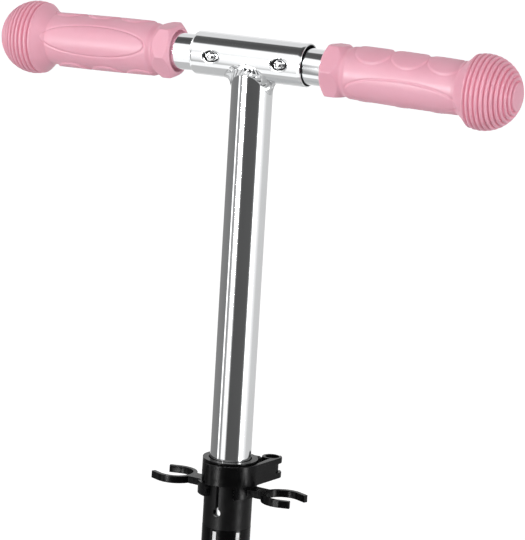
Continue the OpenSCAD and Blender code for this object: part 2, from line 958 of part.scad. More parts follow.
module bracket_screws() {
    shank_top = hinge_base + eps;
    shank_h = shank_top - deck_top + deck_wall + 4;
    color(zinc)
        place()
            for (x = [-screw_x, screw_x], y = screw_ys)
                translate([x, y, 0])
                    difference() {
                        union() {
                            translate([0, 0, shank_top - shank_h])
                                cylinder(r = screw_d / 2, h = shank_h);
                            translate([0, 0, hinge_base])
                                cylinder(r = screw_d * 0.85, h = screw_head_t);
                        }
                        translate([0, 0, hinge_base + screw_head_t - 2])
                            cylinder(r = screw_d * 0.35, h = 3, $fn = 6);
                    }
}

module fold_pivot_bolt() {
    head_t = 4.5;
    color(zinc)
        place()
            translate([0, pivot_y, pivot_z])
                difference() {
                    union() {
                        rod_x(pivot_r, -cheek_out - eps, cheek_out + 8);
                        rod_x(pivot_r + 3, -cheek_out - head_t, -cheek_out);
                    }
                    hex_x(5, -cheek_out - head_t - 1, -cheek_out - head_t + 2.5);
                }
}

module fold_pivot_nut() {
    color(zinc)
        place()
            translate([0, pivot_y, pivot_z])
                nut_x(pivot_d + 5, pivot_r, cheek_out, cheek_out + 7);
}

// The draw bolt ends in an eye round the lever's pin
module draw_bolt() {
    color(zinc)
        on_draw_bolt()
            difference() {
                union() {
                    rod_x(draw_d / 2, -draw_washer_x - 8, draw_pin_x);
                    translate([draw_pin_x, 0, -draw_eye_h / 2])
                        cylinder(r = draw_eye_r, h = draw_eye_h);
                }
                translate([draw_pin_x, 0, -draw_eye_h])
                    cylinder(r = draw_pin_d / 2 + running, h = 2 * draw_eye_h);
            }
}

module draw_washers() {
    color(black)
        on_draw_bolt()
            for (side = [-1, 1])
                ring_x(draw_d / 2 + 5, draw_d / 2 + seat,
                    side > 0 ? draw_washer_x - draw_washer_t : -draw_washer_x,
                    side > 0 ? draw_washer_x : draw_washer_t - draw_washer_x);
}

module draw_nut() {
    color(zinc)
        on_draw_bolt()
            nut_x(draw_d + 5, draw_d / 2, -draw_washer_x - 7, -draw_washer_x);
}

module fold_lever_pin() {
    color(zinc)
        on_draw_bolt()
            translate([draw_pin_x, 0, -fold_lever_h / 2])
                cylinder(r = draw_pin_d / 2, h = fold_lever_h);
}

// The lever's outline from above, with its pin at the origin and its arm along -Y
module fold_lever_outline() {
    tip_r = fold_lever_t / 2;
    bend_y = -fold_lever_len * 0.62;
    tip_x = fold_lever_t * 0.9;
    translate([-draw_cam_e, 0])
        circle(r = draw_cam_r);
    polygon([
        [-draw_cam_r + 2, 0], [-tip_r, bend_y], [tip_x - tip_r, tip_r - fold_lever_len],
        [tip_x + tip_r, tip_r - fold_lever_len], [tip_r, bend_y], [draw_cam_r - draw_cam_e - 0.5, 0]
    ]);
    translate([tip_x, tip_r - fold_lever_len])
        circle(r = tip_r);
}

module fold_lever() {
    room = draw_cam_r + draw_cam_e + 1;
    color(black)
        on_draw_bolt()
            translate([draw_pin_x, 0, 0])
                difference() {
                    translate([0, 0, -fold_lever_h / 2])
                        linear_extrude(height = fold_lever_h)
                            fold_lever_outline();
                    translate([0, 0, -draw_eye_h / 2 - gap])
                        cylinder(r = room, h = draw_eye_h + 2 * gap);
                    translate([0, 0, -fold_lever_h])
                        cylinder(r = draw_pin_d / 2 + seat, h = 2 * fold_lever_h);
                }
}

// ---- Deck ----

// The hollow extrusion's four channels, two inside the ribs and two outside
module deck_channels(room) {
    low = deck_clear + deck_wall + room;
    high = deck_top - deck_wall - room;
    for (side = [-1, 1])
        for (span = [[deck_wall / 2, rib_x], [rib_x + deck_wall, deck_w / 2 - deck_wall]])
            translate([side > 0 ? span[0] + room : -span[1] + room, low])
                square([span[1] - span[0] - 2 * room, high - low]);
}

module deck_section() {
    difference() {
        rounded_rect(-deck_w / 2, deck_w / 2, deck_clear, deck_top, deck_edge_r);
        deck_channels(0);
        // Grooves along the deck's sides
        for (side = [-1, 1], z = [deck_clear + deck_t * 0.4, deck_clear + deck_t * 0.6])
            translate([side * deck_w / 2, z])
                circle(r = 0.8);
    }
}

module deck_plan(y0) {
    half = deck_w / 2;
    translate([-half, y0 + deck_corner_r])
        square([deck_w, deck_end - y0 - deck_corner_r]);
    translate([-half + deck_corner_r, y0])
        square([deck_w - 2 * deck_corner_r, deck_len]);
    for (side = [-1, 1])
        translate([side * (half - deck_corner_r), y0 + deck_corner_r])
            circle(r = deck_corner_r);
}

module deck() {
    color(silver)
        place()
            difference() {
                intersection() {
                    bar_y(deck_y + cap_t, deck_end)
                        deck_section();
                    translate([0, 0, deck_clear - 1])
                        linear_extrude(height = deck_t + 2)
                            deck_plan(deck_y);
                }
                translate([-rib_x, slot_y, deck_clear - 1])
                    cube([2 * rib_x, slot_len + 1, deck_t + 2]);
                for (x = [-screw_x, screw_x], y = screw_ys)
                    translate([x, y, deck_top - deck_wall - 1])
                        cylinder(r = screw_d / 2 + seat, h = deck_wall + 2);
            }
}

// The front cap and the plugs at the rear ends of the channels
module deck_caps() {
    color(black)
        place() {
            intersection() {
                union() {
                    bar_y(deck_y, deck_y + cap_t)
                        rounded_rect(-deck_w / 2, deck_w / 2, deck_clear, deck_top, deck_edge_r);
                    bar_y(deck_y + cap_t - eps, deck_y + cap_t + plug_depth)
                        deck_channels(seat);
                }
                translate([0, 0, deck_clear - 1])
                    linear_extrude(height = deck_t + 2)
                        deck_plan(deck_y);
            }
            intersection() {
                union() {
                    bar_y(deck_end - plug_depth, deck_end)
                        deck_channels(seat);
                    bar_y(slot_y - plug_depth, slot_y)
                        deck_channels(seat);
                }
                difference() {
                    translate([-deck_w / 2, 0, deck_clear])
                        cube([deck_w, deck_end, deck_t]);
                    translate([-rib_x - 1, slot_y, deck_clear - 1])
                        cube([2 * rib_x + 2, slot_len + 1, deck_t + 2]);
                    for (side = [-1, 1])
                        translate([side > 0 ? rib_x : -deck_w, slot_y - deck_len, deck_clear - 1])
                            cube([deck_w - rib_x, deck_len + eps, deck_t + 2]);
                }
            }
        }
}

module grip_tape() {
    y0 = pivot_y + hinge_tail + 8;
    y1 = brake_y - brake_ear_r - 16;
    half = deck_w / 2 - tape_border;
    color(dark)
        place()
            translate([0, 0, deck_top])
                linear_extrude(height = tape_t)
                    rounded_rect(-half, half, y0, y1, tape_r);
}

// ---- Rear end ----

module rear_plate_outline() {
    translate([rear_y, wheel_r])
        circle(r = rear_end_r);
    polygon([
        [slot_y + 3, deck_clear + 1], [rear_y, wheel_r - rear_end_r], [rear_y, wheel_r + rear_end_r],
        [deck_end, deck_top - 1], [slot_y + 3, deck_top - 1]
    ]);
}

module rear_plate(side) {
    color(black)
        place()
            difference() {
                plate_x(side > 0 ? plate_in : -plate_in - rear_plate_t,
                    side > 0 ? plate_in + rear_plate_t : -plate_in)
                    rear_plate_outline();
                translate([0, rear_y, wheel_r])
                    rod_x(axle_r + seat, -deck_w, deck_w);
            }
}

module rear_fork_left() {
    rear_plate(1);
}

module rear_fork_right() {
    rear_plate(-1);
}

module at_brake() {
    place()
        translate([0, brake_y, brake_z])
            children();
}

// Two ears on a base plate, on either side of the fender's skirts
module brake_bracket() {
    x0 = skirt_out + gap;
    x1 = x0 + brake_ear_t;
    front = brake_y - brake_ear_r - 8;
    color(black)
        difference() {
            place() {
                for (side = [-1, 1])
                    plate_x(side > 0 ? x0 : -x1, side > 0 ? x1 : -x0) {
                        translate([brake_y, brake_z])
                            circle(r = brake_ear_r);
                        polygon([
                            [front, deck_top], [brake_y + brake_ear_r, deck_top],
                            [brake_y + brake_ear_r, brake_z], [brake_y - brake_ear_r, brake_z]
                        ]);
                    }
                translate([-x1, front, deck_top])
                    cube([2 * x1, brake_y - front - brake_ear_r / 2, 1.5]);
            }
            at_brake()
                rod_x(brake_pin_d / 2 + seat, -deck_w, deck_w);
        }
}

module brake_pin() {
    x1 = skirt_out + gap + brake_ear_t;
    color(zinc)
        at_brake() {
            rod_x(brake_pin_d / 2, -x1 - eps, x1 + eps);
            for (side = [-1, 1])
                rod_x(brake_pin_d / 2 + 1.5, side > 0 ? x1 : -x1 - 1.6, side > 0 ? x1 + 1.6 : -x1);
        }
}

// A torsion spring round the pin: a helix with one leg on the deck and one under the fender
function spring_radial(a) = [0, cos(a), sin(a)];
function spring_centre(a, first, r, leg) =
    [spring_wire * 1.04 * (a - first) / 360, 0, 0] + r * spring_radial(a) + leg * [0, -sin(a), cos(a)];

module brake_spring() {
    r = brake_pin_d / 2 + gap + spring_wire / 2 + 0.4;
    deck_leg = 7;
    fender_leg = 17;
    first = -60;
    last = first + 360 * spring_turns + 350;
    sides = 8;
    bends = [for (a = [first : 25 : last]) [a, 0]];
    path = concat([[first, -deck_leg]], bends, [[last, fender_leg]]);
    half = spring_wire * 1.04 * (last - first) / 720;
    ring = [for (k = [0 : sides - 1]) spring_wire / 2 * [cos(k * 360 / sides), sin(k * 360 / sides)]];
    points = [
        for (p = path)
            for (c = ring)
                spring_centre(p[0], first, r, p[1]) + c[0] * spring_radial(p[0]) + [c[1] - half, 0, 0]
    ];
    last_ring = (len(path) - 1) * sides;
    walls = [
        for (i = [0 : len(path) - 2])
            for (k = [0 : sides - 1])
                let (a = i * sides + k, b = i * sides + (k + 1) % sides)
                    [a, b, b + sides, a + sides]
    ];
    caps = [[for (k = [0 : sides - 1]) sides - 1 - k], [for (k = [0 : sides - 1]) last_ring + k]];
    color(zinc)
        at_brake()
            polyhedron(points, concat(walls, caps));
}

// The sheet over the wheel, its raised tail, its side skirts and its hinge arms
module brake_fender() {
    start = 152;
    tail = rear_y + fender_in * cos(fender_tail);
    color(silver)
        difference() {
            place() {
                plate_x(-skirt_out, skirt_out) {
                    translate([rear_y, wheel_r])
                        arc_band(fender_out, fender_in, fender_tail, start);
                    translate([tail, wheel_r + fender_in * sin(fender_tail)])
                        rotate(-tail_drop)
                            square([tail_len, fender_t]);
                }
                for (side = [-1, 1])
                    plate_x(side > 0 ? skirt_in : -skirt_out, side > 0 ? skirt_out : -skirt_in) {
                        translate([rear_y, wheel_r])
                            arc_band(fender_out, fender_out - skirt_h, 60, start);
                        translate([brake_y, brake_z])
                            circle(r = brake_ear_r - 1);
                        polygon([
                            [brake_y, brake_z - brake_ear_r + 1], [brake_y, brake_z + brake_ear_r - 1],
                            [rear_y, wheel_r] + (fender_out - 0.2) * [cos(start - 12), sin(start - 12)],
                            [rear_y, wheel_r] + (fender_out - skirt_h) * [cos(start - 1), sin(start - 1)]
                        ]);
                    }
            }
            at_brake()
                rod_x(brake_pin_d / 2 + running, -deck_w, deck_w);
        }
}

// ---- Telescopic column ----

module outer_tube() {
    color(black)
        on_column()
            difference() {
                translate([0, 0, outer_s])
                    cylinder(r = outer_r, h = outer_top - outer_s);
                translate([0, 0, outer_s - 1])
                    cylinder(r = steerer_r + seat, h = steerer_in + 3);
                translate([0, 0, steerer_top + 2 - eps])
                    cylinder(r = outer_bore, h = outer_top - steerer_top);
                translate([-slit_w / 2, -outer_r - 1, outer_top - slit_len])
                    cube([slit_w, outer_r, slit_len + 1]);
                translate([0, 0, outer_top - slit_len])
                    rotate([90, 0, 0])
                        cylinder(r = slit_hole_d / 2, h = outer_r + 1);
            }
}

module column_tube() {
    color(silver)
        on_column()
            difference() {
                translate([0, 0, column_foot])
                    cylinder(r = column_r, h = bar_height - column_foot);
                translate([0, 0, column_foot - 1])
                    cylinder(r = column_r - column_wall, h = bar_height);
                translate([0, 0, bar_height])
                    rod_x(sleeve_r + seat, -sleeve_len, sleeve_len);
            }
}

// The nylon guide rides in the outer tube's bore and plugs the upper tube's foot
module foot_guide() {
    plug_r = column_r - column_wall - seat;
    color("ivory")
        on_column() {
            ring_z(outer_bore - running, plug_r - 2, column_foot - guide_h, column_foot);
            ring_z(plug_r, plug_r - 2, column_foot - eps, column_foot + 2 * guide_h);
        }
}

module t_sleeve() {
    color(silver)
        on_bar()
            difference() {
                rod_x(sleeve_r, -sleeve_len / 2, sleeve_len / 2);
                rod_x(sleeve_bore, -sleeve_len, sleeve_len);
                for (side = [-1, 1])
                    translate([side * button_x, 0, 0])
                        rotate([90, 0, 0])
                            cylinder(r = button_d / 2 + gap + 0.1, h = sleeve_r + 1);
            }
}

// The weld bead that fills the corner between the sleeve and the upper tube
module t_weld() {
    color(silver)
        on_bar()
            difference() {
                intersection() {
                    rod_x(sleeve_r + weld_w, -sleeve_len / 2, sleeve_len / 2);
                    translate([0, 0, -sleeve_r - weld_w])
                        cylinder(r = column_r + weld_w, h = sleeve_r);
                }
                rod_x(sleeve_r + seat, -sleeve_len, sleeve_len);
                translate([0, 0, -sleeve_r - weld_w - 1])
                    cylinder(r = column_r + seat, h = sleeve_r + weld_w);
            }
}

// ---- Handles, drawn on the rider's left and mirrored ----

// A handle hangs in the sleeve's room: it turns about the middle of the stretch that is held
module side_of_bar(side) {
    on_bar()
        mirror([side < 0 ? 1 : 0, 0, 0])
            translate([hang_x, 0, 0])
                rotate([0, handle_hang, 0])
                    translate([-hang_x, 0, 0])
                        children();
}

module handle_tube(side) {
    color(silver)
        side_of_bar(side)
            difference() {
                ring_x(handle_r, handle_r - handle_wall, handle_gap / 2, ball_x);
                translate([button_x, 0, 0])
                    rotate([90, 0, 0])
                        cylinder(r = button_d / 2 + gap, h = handle_r + 1);
            }
}

module handle_tube_left() {
    handle_tube(1);
}

module handle_tube_right() {
    handle_tube(-1);
}

function ball_point(a, r) = [r * sin(a), ball_x + r * cos(a)];

// Rings: each has a narrow groove and then a raised stretch
function ring_points(a, pitch) = [
    ball_point(a, ball_r - ring_groove), ball_point(a - pitch * 0.16, ball_r - ring_groove * 0.75),
    ball_point(a - pitch * 0.34, ball_r - 0.1), ball_point(a - pitch * 0.6, ball_r),
    ball_point(a - pitch * 0.86, ball_r - 0.2)
];

module grip_body() {
    body_x = grip_start + grip_collar_len;
    waist = grip_waist_d / 2 + seat;
    first = 98;
    last = asin(ball_disc_r / ball_r);
    pitch = (first - last) / ball_rings;
    neck = 107; // the ball starts at this turn from its tip, where a short flare meets it
    neck_x = ball_x + ball_r * cos(neck);
    flare = ball_r * sin(neck) - grip_r;
    fillet = [
        [grip_r, neck_x - 7.5], [grip_r + flare * 0.1, neck_x - 6.2],
        [grip_r + flare * 0.36, neck_x - 4.2], [grip_r + flare * 0.68, neck_x - 2]
    ];
    back = [for (a = [neck : -(neck - first) / 6 : first + 1]) ball_point(a, ball_r)];
    rings = [for (i = [0 : ball_rings - 1]) each ring_points(first - i * pitch, pitch)];
    tip = [for (i = [0 : 5]) ball_point(last * (1 - i / 5), ball_r - (i == 0 ? ring_groove : 0.1))];
    rotate([0, 90, 0])
        rotate_extrude()
            polygon(concat(
                [[0, body_x - 3], [waist, body_x - 3], [waist, body_x + 0.8]],
                [[grip_r - 0.25, body_x + 3.6], [grip_r, body_x + 8]], fillet, back, rings, tip
            ));
}

// The six-sided collar, with a corner to the front, a chamfered inner end and a cone down to the waist
module grip_collar() {
    corner = grip_collar_af / 2 / cos(30);
    waist = grip_waist_d / 2;
    ch = grip_collar_chamfer;
    over = 1; // the cones run past the corners, so that they cut them cleanly
    end = grip_start + grip_collar_len;
    intersection() {
        translate([grip_start, 0, 0])
            rotate([30, 0, 0])
                rotate([0, 90, 0])
                    cylinder(r = corner, h = grip_collar_len, $fn = 6);
        rotate([0, 90, 0])
            rotate_extrude()
                polygon([
                    [0, grip_start], [corner - 2 * ch, grip_start],
                    [corner + over, grip_start + 1.4 * ch + 0.7 * over],
                    [corner + over, end - grip_cone_len * (1 + over / (corner - waist))],
                    [waist, end], [0, end]
                ]);
    }
}

module grip(side) {
    color(pink)
        side_of_bar(side)
            difference() {
                union() {
                    grip_body();
                    grip_collar();
                }
                rod_x(handle_r + seat, 0, ball_x + seat);
                rod_x(handle_r + 1.6, 0, grip_start + 2);
            }
}

module grip_left() {
    grip(1);
}

module grip_right() {
    grip(-1);
}

// A domed button on a round foot that stays inside the handle tube
module snap_button(side) {
    r = button_d / 2;
    // The foot's rim rests against the tube's round wall
    foot = sqrt(pow(handle_r - handle_wall, 2) - pow(button_foot_d / 2, 2)) - gap;
    dome_r = (r * r + button_proud * button_proud) / (2 * button_proud);
    color(silver)
        side_of_bar(side)
            translate([button_x, 0, 0])
                rotate([90, 0, 0]) {
                    translate([0, 0, foot - button_foot_t])
                        cylinder(r = button_foot_d / 2, h = button_foot_t);
                    translate([0, 0, foot - eps])
                        cylinder(r = r, h = sleeve_r - foot + eps);
                    intersection() {
                        translate([0, 0, sleeve_r + button_proud - dome_r])
                            sphere(r = dome_r);
                        translate([0, 0, sleeve_r - eps])
                            cylinder(r = r, h = dome_r);
                    }
                }
}

module snap_button_left() {
    snap_button(1);
}

module snap_button_right() {
    snap_button(-1);
}

// ---- Height clamp, in the column's frame ----

module clamp_collar() {
    color(black)
        on_column()
            difference() {
                union() {
                    translate([0, 0, collar_s])
                        cylinder(r = collar_r, h = collar_h);
                    plate_x(-ear_x, ear_x) {
                        translate([clamp_bolt_y, clamp_mid])
                            circle(r = ear_r);
                        translate([outer_r - 4, clamp_mid - ear_r])
                            square([clamp_bolt_y - outer_r + 4, 2 * ear_r]);
                    }
                }
                translate([0, 0, collar_s - 1])
                    cylinder(r = outer_r + seat, h = collar_h - collar_lip + 1);
                translate([0, 0, collar_s])
                    cylinder(r = outer_bore + gap, h = collar_h + 1);
                translate([-split_w / 2, 0, collar_s - 1])
                    cube([split_w, 2 * clamp_bolt_y, collar_h + 2]);
                translate([0, clamp_bolt_y, clamp_mid])
                    rod_x(clamp_bolt_d / 2 + seat, -clamp_bolt_y, clamp_bolt_y);
            }
}

module clamp_bolt() {
    color(zinc)
        on_column()
            translate([0, clamp_bolt_y, clamp_mid])
                rod_x(clamp_bolt_d / 2, -ear_x - clamp_nut_t - 1, clamp_pin_x + clamp_bolt_d / 2);
}

module clamp_washer() {
    color(black)
        on_column()
            translate([0, clamp_bolt_y, clamp_mid])
                ring_x(ear_r - 0.4, clamp_bolt_d / 2 + seat, ear_x, clamp_washer_x);
}

module clamp_nut() {
    color(zinc)
        on_column()
            translate([0, clamp_bolt_y, clamp_mid])
                nut_x(clamp_nut_af, clamp_bolt_d / 2, -ear_x - clamp_nut_t, -ear_x);
}

// The barrel nut, drilled across for the end of the bolt
module clamp_pin() {
    h = clamp_lever_h - 2 * clamp_pin_in;
    color(black)
        on_column()
            translate([0, clamp_bolt_y, clamp_mid])
                difference() {
                    translate([clamp_pin_x, 0, -h / 2])
                        cylinder(r = clamp_pin_d / 2, h = h);
                    rod_x(clamp_bolt_d / 2 + seat, 0, clamp_pin_x + clamp_bolt_d / 2 + seat);
                }
}

// The lever's outline: an arc round the collar that runs straight back to the cam
module clamp_lever_outline() {
    heel_r = clamp_cam_r + 0.5;
    reach = norm([clamp_pin_x, clamp_bolt_y]);
    turn = atan2(clamp_bolt_y, clamp_pin_x) - acos((lever_out_r - heel_r) / reach);
    out = [cos(turn), sin(turn)];
    pin = [clamp_pin_x, clamp_bolt_y];
    dip = 0.05; // the straight stretch lies this far inside its two arcs, so that they cross
    arc_band(lever_out_r, lever_in_r, lever_tip_turn, turn + 7);
    polygon([
        (lever_out_r - dip) * out, pin + (heel_r - dip) * out,
        pin + (heel_r - 2 * clamp_lever_t) * out, (lever_in_r + dip) * out
    ]);
    translate([clamp_pin_x - clamp_cam_e, clamp_bolt_y])
        circle(r = clamp_cam_r);
    intersection() {
        translate(pin)
            circle(r = heel_r);
        translate(pin)
            slice(heel_r + 1, -80, 60);
    }
}

module clamp_lever() {
    color(black)
        on_column()
            difference() {
                translate([0, 0, lever_s])
                    linear_extrude(height = clamp_lever_h)
                        clamp_lever_outline();
                translate([clamp_pin_x, clamp_bolt_y, clamp_mid - clamp_notch_h / 2])
                    cylinder(r = clamp_cam_r + clamp_cam_e + 0.8, h = clamp_notch_h);
                translate([clamp_pin_x, clamp_bolt_y, lever_s - 1])
                    cylinder(r = clamp_pin_d / 2 + running, h = clamp_lever_h + 2);
            }
}

// ---- Handle clips ----

// One hook, drawn on the rider's left: a C that runs on into two straight lips, open to the side
module hook_outline() {
    mid_r = hook_r + clip_arm_t / 2;
    bend_r = clip_arm_t / 2 + 0.1; // a little fuller than the arm, so that the outlines cross
    arc_band(hook_r + clip_arm_t, hook_r, clip_mouth, 360 - clip_mouth);
    for (side = [-1, 1])
        translate([mid_r * cos(clip_mouth), side * mid_r * sin(clip_mouth)])
            rotate(side * (clip_mouth - 90)) {
                translate([-0.3, -clip_arm_t / 2])
                    square([clip_lip + 0.3, clip_arm_t]);
                circle(r = bend_r);
            }
}

module clip_ring() {
    root_w = 10;
    color(black)
        on_column()
            difference() {
                union() {
                    translate([0, 0, clip_s])
                        linear_extrude(height = clip_band_h) {
                            arc_band(clip_r, outer_r - 1, band_turns[0], band_turns[1]);
                            arc_band(clip_r + clip_lug_t, clip_r - 1, lug_turns[0], lug_turns[1]);
                            rotate(band_turns[0])
                                translate([outer_r - 0.5, -0.3])
                                    square([clip_band_t + 2, 1.4]);
                        }
                    translate([0, 0, hook_s])
                        linear_extrude(height = clip_hook_h)
                            for (side = [0, 1])
                                rotate(-clip_turn)
                                    mirror([side, 0])
                                        difference() {
                                            union() {
                                                translate([hook_x, 0])
                                                    hook_outline();
                                                translate([outer_r, -root_w / 2])
                                                    square([hook_x - outer_r - hook_r, root_w]);
                                            }
                                            translate([hook_x, 0])
                                                circle(r = hook_r);
                                        }
                }
                translate([0, 0, clip_s - 1])
                    cylinder(r = outer_r + seat, h = clip_band_h + 2);
            }
}

deck();
deck_caps();
grip_tape();
hinge_bracket();
bracket_screws();
fold_pivot_bolt();
fold_pivot_nut();
rear_fork_left();
rear_fork_right();
rear_axle();
rear_axle_nut();
rear_spacers();
brake_bracket();
brake_pin();
brake_spring();
brake_fender();
rear_tyre();
rear_hub();
rear_bearings();
front_tyre();
front_hub();
front_bearings();
head_tube();
neck_strut();
pivot_bushings();
headset_cups();
headset_bearings();
draw_bolt();
draw_washers();
draw_nut();
fold_lever();
fold_lever_pin();
fork();
steerer();
crown_race();
headset_cone();
lock_washer();
lock_nut();
front_axle();
front_axle_nut();
front_spacers();
outer_tube();
clamp_collar();
clamp_bolt();
clamp_washer();
clamp_nut();
clamp_lever();
clamp_pin();
clip_ring();
column_tube();
foot_guide();
t_sleeve();
t_weld();
handle_tube_left();
handle_tube_right();
grip_left();
grip_right();
snap_button_left();
snap_button_right();
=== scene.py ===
import json
import math

import bmesh
import bpy
import numpy as np
from mathutils import Matrix, Vector


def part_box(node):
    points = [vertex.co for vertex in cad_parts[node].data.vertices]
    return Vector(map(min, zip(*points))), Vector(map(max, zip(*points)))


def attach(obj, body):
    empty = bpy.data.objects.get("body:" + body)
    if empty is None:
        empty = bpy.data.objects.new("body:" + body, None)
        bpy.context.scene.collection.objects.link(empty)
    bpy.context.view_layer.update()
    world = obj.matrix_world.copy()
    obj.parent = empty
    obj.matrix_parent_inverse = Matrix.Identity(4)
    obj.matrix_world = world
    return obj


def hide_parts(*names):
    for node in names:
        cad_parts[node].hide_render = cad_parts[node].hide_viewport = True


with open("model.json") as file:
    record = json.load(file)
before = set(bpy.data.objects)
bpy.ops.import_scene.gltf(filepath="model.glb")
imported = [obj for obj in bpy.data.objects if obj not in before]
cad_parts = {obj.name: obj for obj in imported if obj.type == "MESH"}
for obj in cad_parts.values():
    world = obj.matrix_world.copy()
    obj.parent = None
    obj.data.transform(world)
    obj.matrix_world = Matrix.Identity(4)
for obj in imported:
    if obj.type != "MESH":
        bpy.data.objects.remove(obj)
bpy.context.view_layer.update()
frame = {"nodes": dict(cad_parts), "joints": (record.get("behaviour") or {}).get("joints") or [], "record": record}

MM = 0.001
NODES = frame["nodes"]
JOINTS = {j["name"]: j for j in frame["joints"]}
BODY_OF = {n: b for b, ns in frame["record"]["behaviour"]["bodies"].items() for n in ns}
SLOT_OF = {p["node"]: p["material_slot"] for p in frame["record"]["subparts"]}


# ---------------------------------------------------------------- places

def middle(node):
    low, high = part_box(node)
    return (low + high) / 2


def frame_at(origin, x_axis, z_axis):
    """The matrix of a right-handed frame with this origin, X and Z."""
    x, z = Vector(x_axis).normalized(), Vector(z_axis).normalized()
    y = z.cross(x)
    turn = Matrix((x, y, z)).transposed().to_4x4()
    return Matrix.Translation(origin) @ turn


COLUMN_UP = Vector(JOINTS["steer"]["axis"]).normalized()
COLUMN = frame_at(JOINTS["steer"]["pos_m"], (1, 0, 0), COLUMN_UP)
BAR = frame_at(middle("t_sleeve"), (1, 0, 0), COLUMN_UP)

# The radii, ends and places of the tubes and buttons, the same as in the CAD
SLEEVE_R, SLEEVE_BORE, SLEEVE_HALF = 13.2, 11.5, 37.0
HANDLE_R, HANDLE_BORE, HANDLE_START, HANDLE_END = 11.1, 9.5, 3.0, 150.0
COLUMN_R, COLUMN_BORE = 12.7, 10.9
OUTER_R = 15.0
BUTTON_X = 22.6
# Room left between two pieces that touch
SEAT = 0.02
# A handle hangs in the sleeve's room: it turns about the middle of the stretch that is held
HANG_X = (SLEEVE_HALF + HANDLE_START) / 2
HANG = math.atan((SLEEVE_BORE - HANDLE_R - SEAT) / (SLEEVE_HALF - HANG_X))


def moved_x(x):
    return Matrix.Translation((x * MM, 0, 0))


def side_of_bar(side):
    """The frame of the handle on one side, 1 or -1."""
    return BAR @ moved_x(side * HANG_X) @ Matrix.Rotation(side * HANG, 4, "Y") @ moved_x(-side * HANG_X)


def along_column(node):
    """How far up the column a node starts and ends."""
    spots = [(COLUMN.inverted() @ v.co).z for v in NODES[node].data.vertices]
    return min(spots), max(spots)


# ---------------------------------------------------------------- materials

class Shader:
    """A node tree round one Principled shader, with short calls for what the materials share."""

    def __init__(self, name, **inputs):
        self.material = bpy.data.materials.new(name)
        self.material.use_nodes = True
        self.tree = self.material.node_tree
        self.main = self.tree.nodes["Principled BSDF"]
        self.coords = self.tree.nodes.new("ShaderNodeTexCoord").outputs["Object"]
        for key, value in inputs.items():
            self.main.inputs[key.replace("_", " ")].default_value = value

    def node(self, kind, **inputs):
        made = self.tree.nodes.new("ShaderNode" + kind)
        for key, value in inputs.items():
            socket = made.inputs[key.replace("_", " ")]
            if isinstance(value, bpy.types.NodeSocket):
                self.tree.links.new(value, socket)
            else:
                socket.default_value = value
        return made

    def stretched(self, turn, scale):
        """Coordinates turned by Euler angles and then stretched."""
        turned = self.node("Mapping", Vector=self.coords, Rotation=turn).outputs[0]
        return self.node("Mapping", Vector=turned, Scale=scale).outputs[0]

    def noise(self, scale, detail=3.0, rough=0.55, vector=None):
        return self.node("TexNoise", Vector=vector or self.coords, Scale=scale,
                         Detail=detail, Roughness=rough).outputs["Fac"]

    def spread(self, value, low, high, start=0.35, end=0.65):
        """Maps a noise value to the range low..high."""
        made = self.node("MapRange", Value=value)
        for key, number in (("From Min", start), ("From Max", end), ("To Min", low), ("To Max", high)):
            made.inputs[key].default_value = number
        return made.outputs[0]

    def mixed(self, factor, first, second):
        made = self.tree.nodes.new("ShaderNodeMix")
        made.data_type = "RGBA"
        self.tree.links.new(factor, made.inputs["Factor"])
        made.inputs["A"].default_value = (*first, 1)
        made.inputs["B"].default_value = (*second, 1)
        return made.outputs["Result"]

    def to(self, key, value):
        self.tree.links.new(value, self.main.inputs[key])
        return self

    def bump(self, *heights):
        """Each height is (value, strength, distance); they add up."""
        normal = None
        for value, strength, distance in heights:
            made = self.node("Bump", Height=value, Strength=strength, Distance=distance)
            if normal:
                self.tree.links.new(normal, made.inputs["Normal"])
            normal = made.outputs[0]
        self.tree.links.new(normal, self.main.inputs["Normal"])
        return self


def shade(color, factor):
    return tuple(c * factor for c in color)


def pink_material(name, light, deep, roughness):
    s = Shader(name, IOR=1.5, Subsurface_Weight=0.06, Subsurface_Scale=0.003)
    s.main.inputs["Subsurface Radius"].default_value = (1.0, 0.45, 0.4)
    s.to("Base Color", s.mixed(s.spread(s.noise(55, 4), 0, 1), light, deep))
    s.to("Roughness", s.spread(s.noise(420, 3), roughness - 0.05, roughness + 0.07))
    return s.bump((s.noise(1500, 2), 0.10, 0.0002), (s.noise(260, 2), 0.05, 0.0004)).material


def drawn_metal(name, color, roughness, turn, grain=0.02):
    """Polished or drawn metal whose fine lines run along X after the turn."""
    s = Shader(name, Metallic=1.0)
    lines = s.noise(900, 2, 0.5, s.stretched(turn, (0.02, 1, 1)))
    smudges = s.noise(38, 4)
    s.to("Base Color", s.mixed(s.spread(smudges, 0, 1), color, shade(color, 0.965)))
    s.to("Roughness", s.spread(lines, roughness * 0.8, roughness * 1.35))
    return s.bump((lines, grain, 0.00005)).material


def painted(name, color, roughness, peel=0.08, ior=1.22):
    s = Shader(name, IOR=ior)
    s.to("Base Color", s.mixed(s.spread(s.noise(70, 4), 0, 1), color, shade(color, 1.35)))
    s.to("Roughness", s.spread(s.noise(300, 3), roughness - 0.05, roughness + 0.06))
    return s.bump((s.noise(1100, 3), peel, 0.00025)).material


def moulded(name, color, roughness, ior=1.22):
    s = Shader(name, IOR=ior)
    s.to("Base Color", s.mixed(s.spread(s.noise(120, 3), 0, 1), color, shade(color, 1.3)))
    s.to("Roughness", s.spread(s.noise(500, 3), roughness - 0.05, roughness + 0.08))
    return s.bump((s.noise(2400, 2), 0.10, 0.0001)).material


def plated(name, color, roughness):
    s = Shader(name, Metallic=1.0)
    s.to("Base Color", s.mixed(s.spread(s.noise(220, 5), 0, 1), color, shade(color, 0.82)))
    s.to("Roughness", s.spread(s.noise(700, 4), roughness - 0.06, roughness + 0.08))
    return s.bump((s.noise(1600, 3), 0.06, 0.0001)).material


